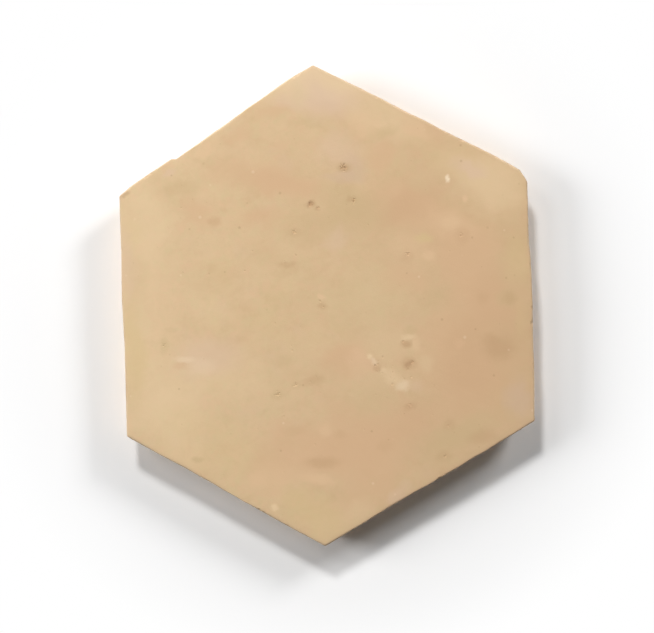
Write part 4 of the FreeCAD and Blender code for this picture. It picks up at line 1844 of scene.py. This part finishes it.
@dataclass(frozen=True)
class FiredClay:
    """Unglazed buff clay: a smooth matt face, and rough sides and bed of the same clay.

    Attributes:
        slot: The material slot of the record that it stands for.
        roughness: Roughness of the face.
        rough_swing: How much the roughness varies.
        rough_size: Width of a duller or a smoother place.
        specular: Strength of the dull sheen.
        painted_shade_turn: Which way painted shade makes the face browner and darker, anticlockwise from the
            right.
        painted_shade_reach: How far from the middle the painted shade is full.
        painted_shade_strength: How much browner and darker the painted shade makes the face.
        mark_reach: How far a mark fades out, against its half width.
        mark_fade: Share of that reach over which it fades in from its rim.
        mark_depth: How deep marks go into the clay.
        pit_shade_full: Depth of a pit, as a share of its ball, at which its painted shade is full.
        pit_shade_strength: How brown and dark the painted shade in a pit is.
        break_begin: Depth of a chip, as a share of its ball, at which it begins to be brown.
        break_full: The same for where it is fully brown.
        break_strength: How brown a chip is.
        dust: How much of the worn edge is covered by dust.
        grain_height: Height of the fine grain on the face.
        grain_size: Width of that grain.
        brush_size: Width of the brushed grain on the face, as high as the fine one.
        brush_stretch: How many times longer than wide it is.
        brush_turn: Which way it was brushed, anticlockwise from the right.
        crumb_height: Height of the coarse grain on the sides and the bed.
        crumb_size: Width of the coarse grain.
    """

    slot: str = "fired_clay"
    roughness: float = 0.86
    rough_swing: float = 0.10
    rough_size: float = 6.0
    specular: float = 0.30
    painted_shade_turn: float = -3.0
    painted_shade_reach: float = 75.0
    painted_shade_strength: float = 0.55
    mark_reach: float = 1.2
    mark_fade: float = 0.8
    mark_depth: float = 1000.0
    pit_shade_full: float = 0.15
    pit_shade_strength: float = 0.45
    break_begin: float = 0.01
    break_full: float = 0.35
    break_strength: float = 0.25
    dust: float = 0.60
    grain_height: float = 0.010
    grain_size: float = 0.45
    brush_size: float = 0.8
    brush_stretch: float = 6.0
    brush_turn: float = 24.0
    crumb_height: float = 0.080
    crumb_size: float = 0.9

    def build(self) -> bpy.types.Material:
        """Builds the clay's node material."""
        material = bpy.data.materials.new(self.slot)
        material.use_nodes = True
        sheet = NodeSheet(material.node_tree)
        coordinates = sheet.add("ShaderNodeTexCoord")
        place = sheet.vector("SCALE", sheet.output(coordinates, "Object"), scale=1 / MM).outputs[0]
        skin = sheet.add("ShaderNodeBsdfPrincipled", None, {"Base Color": self.colour(sheet, place)})
        skin.inputs["Specular IOR Level"].default_value = self.specular
        dull = sheet.swing(place, self.rough_size, self.rough_swing, ClayGrain.SHEEN.value)
        sheet.feed(skin.inputs["Roughness"], sheet.maths("ADD", dull, self.roughness, clamp=True))
        sheet.feed(skin.inputs["Normal"], self.bump(sheet, place))
        sheet.end("ShaderNodeOutputMaterial", skin.outputs[0])
        return material

    @staticmethod
    def share(sheet: NodeSheet, share: Share) -> bpy.types.NodeSocket:
        """One attribute of the clay's points."""
        node = sheet.add("ShaderNodeAttribute", {"attribute_name": share.value})
        return sheet.output(node, "Fac")

    def colour(self, sheet: NodeSheet, place: Feed) -> bpy.types.NodeSocket:
        """The colour of the face and its worn edge, and of the raw clay where the sides and the bed begin."""
        skin = Coat(sheet, place, Tint.BUFF)
        self.paint_face(skin)
        self.paint_edge(skin)
        raw = Coat(sheet, place, Tint.FRESH)
        raw.mottle(RAW_MOTTLES)
        raw.speck(RAW_SPECKS, RAW_STRAYS)
        return sheet.blend(self.share(sheet, Share.SIDE), skin.colour, raw.colour)

    def paint_face(self, skin: Coat) -> None:
        """Lays the face's mottles, the painted shade that browns it towards the right, its marks, its specks
        and the painted shade in its pits.
        """
        sheet = skin.sheet
        skin.mottle(MOTTLES)
        # Painted shade: tan laid more strongly towards the right darkens the face there, where less light
        # falls.
        painted_shade_frame = sheet.turned(skin.place, self.painted_shade_turn, (self.painted_shade_reach, self.painted_shade_reach, 1.0))
        across = sheet.add("ShaderNodeSeparateXYZ", None, {"Vector": painted_shade_frame}).outputs[0]
        skin.lay(sheet.ramp(across, -1.0, 1.0, 0.0, self.painted_shade_strength), Tint.TAN)
        self.mark(skin, PATCHES_AND_PAINTED_LIGHT, PATCH_STRAYS)
        self.mark(skin, MARKS_AND_PIT_SHADE, MARK_STRAYS)
        skin.speck(FACE_SPECKS)
        # Painted shade in the pits: each pit is browned by how deep it goes.
        pit = self.share(sheet, Share.PIT)
        skin.lay(sheet.ramp(pit, 0.0, self.pit_shade_full, 0.0, self.pit_shade_strength), Tint.BROWN)

    def mark(self, skin: Coat, marks: Sequence[Mark], strays: Sequence[Stray]) -> None:
        """Lays marks, one after another.

        Args:
            skin: The colour that they go on.
            marks: The marks.
            strays: What makes their outlines ragged.
        """
        sheet = skin.sheet
        place = skin.strayed(strays)
        for mark in marks:
            size = (mark.wide * self.mark_reach, mark.high * self.mark_reach, self.mark_depth)
            seen = sheet.turned(place, mark.turn, size, (mark.x, mark.y, 0.0))
            ball = sheet.add("ShaderNodeTexGradient", {"gradient_type": "SPHERICAL"}, {"Vector": seen})
            skin.lay(sheet.ramp(ball.outputs["Fac"], 0.0, self.mark_fade, 0.0, mark.strength), mark.tint)

    def paint_edge(self, skin: Coat) -> None:
        """Lays the dust and the brown patches of the worn edge, and the brown of the chips."""
        sheet = skin.sheet
        arris = self.share(sheet, Share.ARRIS)
        skin.lay(sheet.times(arris, self.dust), Tint.DUST)
        skin.lay(sheet.times(arris, skin.cloud(WORN_MOTTLE)), WORN_MOTTLE.tint)
        broken = self.share(sheet, Share.BREAK)
        skin.lay(sheet.ramp(broken, self.break_begin, self.break_full, 0.0, self.break_strength), Tint.BROWN)

    def bump(self, sheet: NodeSheet, place: Feed) -> bpy.types.NodeSocket:
        """Grain too fine for the mesh: faint on the face, coarse on the sides and the bed."""
        fine = sheet.swing(place, self.grain_size, self.grain_height, ClayGrain.FINE.value)
        drawn_out = sheet.turned(place, self.brush_turn, (self.brush_stretch, 1.0, 1.0))
        brushed = sheet.swing(drawn_out, self.brush_size, self.grain_height, ClayGrain.BRUSHED.value)
        coarse = sheet.swing(place, self.crumb_size, self.crumb_height, ClayGrain.COARSE.value)
        rough = sheet.times(coarse, self.share(sheet, Share.SIDE))
        node = sheet.add("ShaderNodeBump", None, {"Height": sheet.total([fine, brushed, rough])})
        node.inputs["Distance"].default_value = MM
        return node.outputs[0]


@dataclass
class ClayTile:
    """The tile itself: form, relief and finish.

    Attributes:
        form: Its form.
        relief: Its relief.
        finish: Its finish.
        pits: The fine pits of its face.
        nibbles: The crumbs lost from its edge.
        node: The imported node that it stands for.
        body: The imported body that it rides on.
    """

    form: TileForm = field(default_factory=TileForm)
    relief: ClayRelief = field(default_factory=ClayRelief)
    finish: FiredClay = field(default_factory=FiredClay)
    pits: ScatteredPits = field(default_factory=ScatteredPits)
    nibbles: EdgeNibbles = field(default_factory=EdgeNibbles)
    node: str = "tile"
    body: str = "root"

    def build(self) -> bpy.types.Object:
        """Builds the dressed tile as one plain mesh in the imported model's frame."""
        mesh = ClayBlank(self.form).build()
        maker = BiteMaker(self.form)
        pit_centres, pit_radii = maker.pit_balls([*FACE_PITS, *self.pits.bites(self.form.across_flats)])
        nibbles = self.nibbles.chips(self.form.side_lengths())
        chip_centres, chip_radii = maker.chip_balls([*EDGE_CHIPS, *nibbles])
        centres = np.concatenate([pit_centres, chip_centres])
        maker.refine(mesh, centres, np.concatenate([pit_radii, chip_radii]))
        blank = put_in_scene("clay_blank", mesh)
        helpers = {
            "Pits": maker.ball_object("pit_balls", pit_centres, pit_radii),
            "Chips": maker.ball_object("chip_balls", chip_centres, chip_radii),
        }
        tree = ReliefTree(self.relief)
        tree.build()
        modifier = tree.fit(blank, helpers, self.finish.build())
        view = bpy.context.evaluated_depsgraph_get()
        evaluated = blank.evaluated_get(view)
        dressed = bpy.data.meshes.new_from_object(evaluated, preserve_all_data_layers=True, depsgraph=view)
        blank.modifiers.remove(modifier)
        for helper in (blank, *helpers.values()):
            bpy.data.meshes.remove(helper.data)
        dressed.polygons.foreach_set("use_smooth", np.ones(len(dressed.polygons), bool))
        return put_in_scene("clay_tile", dressed)

    def place(self, tile: bpy.types.Object) -> None:
        """Says what the tile rides on, and hides the imported node that it stands for."""
        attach(tile, self.body)
        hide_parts(self.node)


@dataclass(frozen=True)
class Lamp:
    """One soft lamp over the tile.

    Attributes:
        name: The lamp's name.
        bearing: Where it stands, anticlockwise from the top of the picture.
        elevation: How high it stands over the floor.
        distance: How far it is from the tile's middle.
        width: Its diameter.
        share: Its share of the light on the tile.
    """

    name: str
    bearing: float
    elevation: float
    distance: float
    width: float
    share: float

    def build(self, picture_turn: float) -> bpy.types.Object:
        """Makes the lamp.

        Args:
            picture_turn: How far the picture's top is turned from +Y, anticlockwise.

        Returns:
            The lamp, aimed at the tile's middle.
        """
        data = bpy.data.lights.new(self.name, "AREA")
        data.shape = "DISK"
        data.size = self.width * MM
        distance = self.distance * MM
        climb = math.sin(math.radians(self.elevation))
        # A disk of this power lights a level white surface to the lamp's share of full white.
        data.energy = self.share * math.pi ** 2 * distance ** 2 / climb
        lamp = put_in_scene(self.name, data)
        turn = math.radians(self.bearing + picture_turn)
        level = distance * math.cos(math.radians(self.elevation))
        lamp.location = (-level * math.sin(turn), level * math.cos(turn), distance * climb)
        lamp.rotation_euler = lamp.location.to_track_quat("Z", "Y").to_euler()
        return lamp


@dataclass(frozen=True)
class Studio:
    """A plain white floor under plain soft light.

    Attributes:
        lamps: The lamps.
        sky: Share of the light that comes from all round.
        floor_reach: Half the floor's width.
        floor_tone: How pale the floor is, 0 to 1.
        shade_reach: How far from the tile's middle the floor shows all of its shade.
        white_reach: How far from it the floor is plain white to the camera.
    """

    lamps: tuple[Lamp, ...] = (
        Lamp("key_lamp", 16.5, 46.8, 2400.0, 350.0, 0.346),
        Lamp("left_lamp", 80.0, 30.0, 1500.0, 620.0, 0.250),
        Lamp("high_left_lamp", 50.0, 45.0, 1500.0, 400.0, 0.085),
        Lamp("right_lamp", -43.0, 30.0, 1800.0, 520.0, 0.248),
        Lamp("front_lamp", -150.0, 45.0, 1500.0, 950.0, 0.034),
    )
    sky: float = 0.03
    floor_reach: float = 6000.0
    floor_tone: float = 0.97
    shade_reach: float = 80.0
    white_reach: float = 120.0

    def build(self, picture_turn: float) -> None:
        """Makes the floor, the lamps and the world."""
        for lamp in self.lamps:
            lamp.build(picture_turn)
        self.build_floor()
        self.build_world()

    @staticmethod
    def seen(sheet: NodeSheet) -> bpy.types.NodeSocket:
        """1 for what the camera sees, straight or by a reflection."""
        rays = sheet.add("ShaderNodeLightPath")
        either = sheet.maths("MAXIMUM", rays.outputs["Is Camera Ray"], rays.outputs["Is Glossy Ray"])
        return sheet.maths("MAXIMUM", either, rays.outputs["Is Transmission Ray"])

    @staticmethod
    def between(sheet: NodeSheet, share: Feed, first: bpy.types.Node,
                second: bpy.types.Node) -> bpy.types.NodeSocket:
        """Mixes two shaders: the first at a share of 0, the second at 1."""
        mix = sheet.add("ShaderNodeMixShader", None, {"Fac": share})
        sheet.feed(mix.inputs[1], first.outputs[0])
        sheet.feed(mix.inputs[2], second.outputs[0])
        return mix.outputs[0]

    def build_floor(self) -> None:
        """Makes the floor: shaded near the tile, and plain white further out."""
        reach = self.floor_reach * MM
        mesh = bpy.data.meshes.new("floor")
        corners = [(-reach, -reach, 0), (reach, -reach, 0), (reach, reach, 0), (-reach, reach, 0)]
        mesh.from_pydata(corners, [], [(0, 1, 2, 3)])
        put_in_scene("floor", mesh)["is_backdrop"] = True
        material = bpy.data.materials.new("white_floor")
        material.use_nodes = True
        sheet = NodeSheet(material.node_tree)
        tone = self.floor_tone
        matt = sheet.add("ShaderNodeBsdfDiffuse", None, {"Color": (tone, tone, tone, 1.0)})
        white = sheet.add("ShaderNodeEmission", None, {"Strength": 1.0})
        coordinates = sheet.add("ShaderNodeTexCoord")
        way = sheet.output(sheet.vector("LENGTH", coordinates.outputs["Object"]), "Value")
        far = sheet.ramp(way, self.shade_reach * MM, self.white_reach * MM)
        shown = self.between(sheet, sheet.times(far, self.seen(sheet)), matt, white)
        sheet.end("ShaderNodeOutputMaterial", shown)
        mesh.materials.append(material)

    def build_world(self) -> None:
        """Makes the world: even light on the tile, and plain white to the camera."""
        world = bpy.data.worlds.new("studio")
        world.use_nodes = True
        sheet = NodeSheet(world.node_tree)
        light = sheet.add("ShaderNodeBackground", None, {"Color": WHITE, "Strength": self.sky})
        white = sheet.add("ShaderNodeBackground", None, {"Color": WHITE, "Strength": 1.0})
        sheet.end("ShaderNodeOutputWorld", self.between(sheet, self.seen(sheet), light, white))
        bpy.context.scene.world = world


@dataclass(frozen=True)
class OverheadCamera:
    """A camera that looks straight down on the tile.

    Attributes:
        lens: Focal length.
        tile_share: The tile's length as a share of the picture's height.
        picture_turn: How far the picture's top is turned from +Y, anticlockwise.
        drop: How far below the tile's middle the camera looks, for room for the shadow.
    """

    lens: float = 150.0
    tile_share: float = 0.76
    picture_turn: float = -2.1
    drop: float = 3.5

    def build(self, low: Vector, high: Vector) -> bpy.types.Object:
        """Makes the camera.

        Args:
            low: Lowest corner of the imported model's box.
            high: Highest corner of it.

        Returns:
            The camera, which is the scene's camera too.
        """
        data = bpy.data.cameras.new("overhead_camera")
        data.lens = self.lens
        picture_height = (high.y - low.y) / self.tile_share
        picture_width = picture_height * PHOTO_WIDTH / PHOTO_HEIGHT
        distance = picture_width * self.lens / data.sensor_width
        turn = math.radians(self.picture_turn)
        middle = (low + high) / 2
        camera = put_in_scene("overhead_camera", data)
        down = Vector((math.sin(turn), -math.cos(turn), 0.0)) * self.drop * MM
        camera.location = Vector((middle.x, middle.y, high.z + distance)) + down
        camera.rotation_euler = (0.0, 0.0, turn)
        bpy.context.scene.camera = camera
        return camera


def main() -> None:
    """Builds the tile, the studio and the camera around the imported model."""
    logging.basicConfig(level=logging.INFO, format="%(name)s: %(message)s")
    bpy.context.scene.view_settings.view_transform = "Standard"
    cad_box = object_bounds()
    camera = OverheadCamera()
    camera.build(*cad_box)
    tile = ClayTile()
    piece = tile.build()
    tile.place(piece)
    log.info("%s: %d points, %d faces", piece.name, len(piece.data.vertices), len(piece.data.polygons))
    Studio().build(camera.picture_turn)


if __name__ == "__main__":
    main()
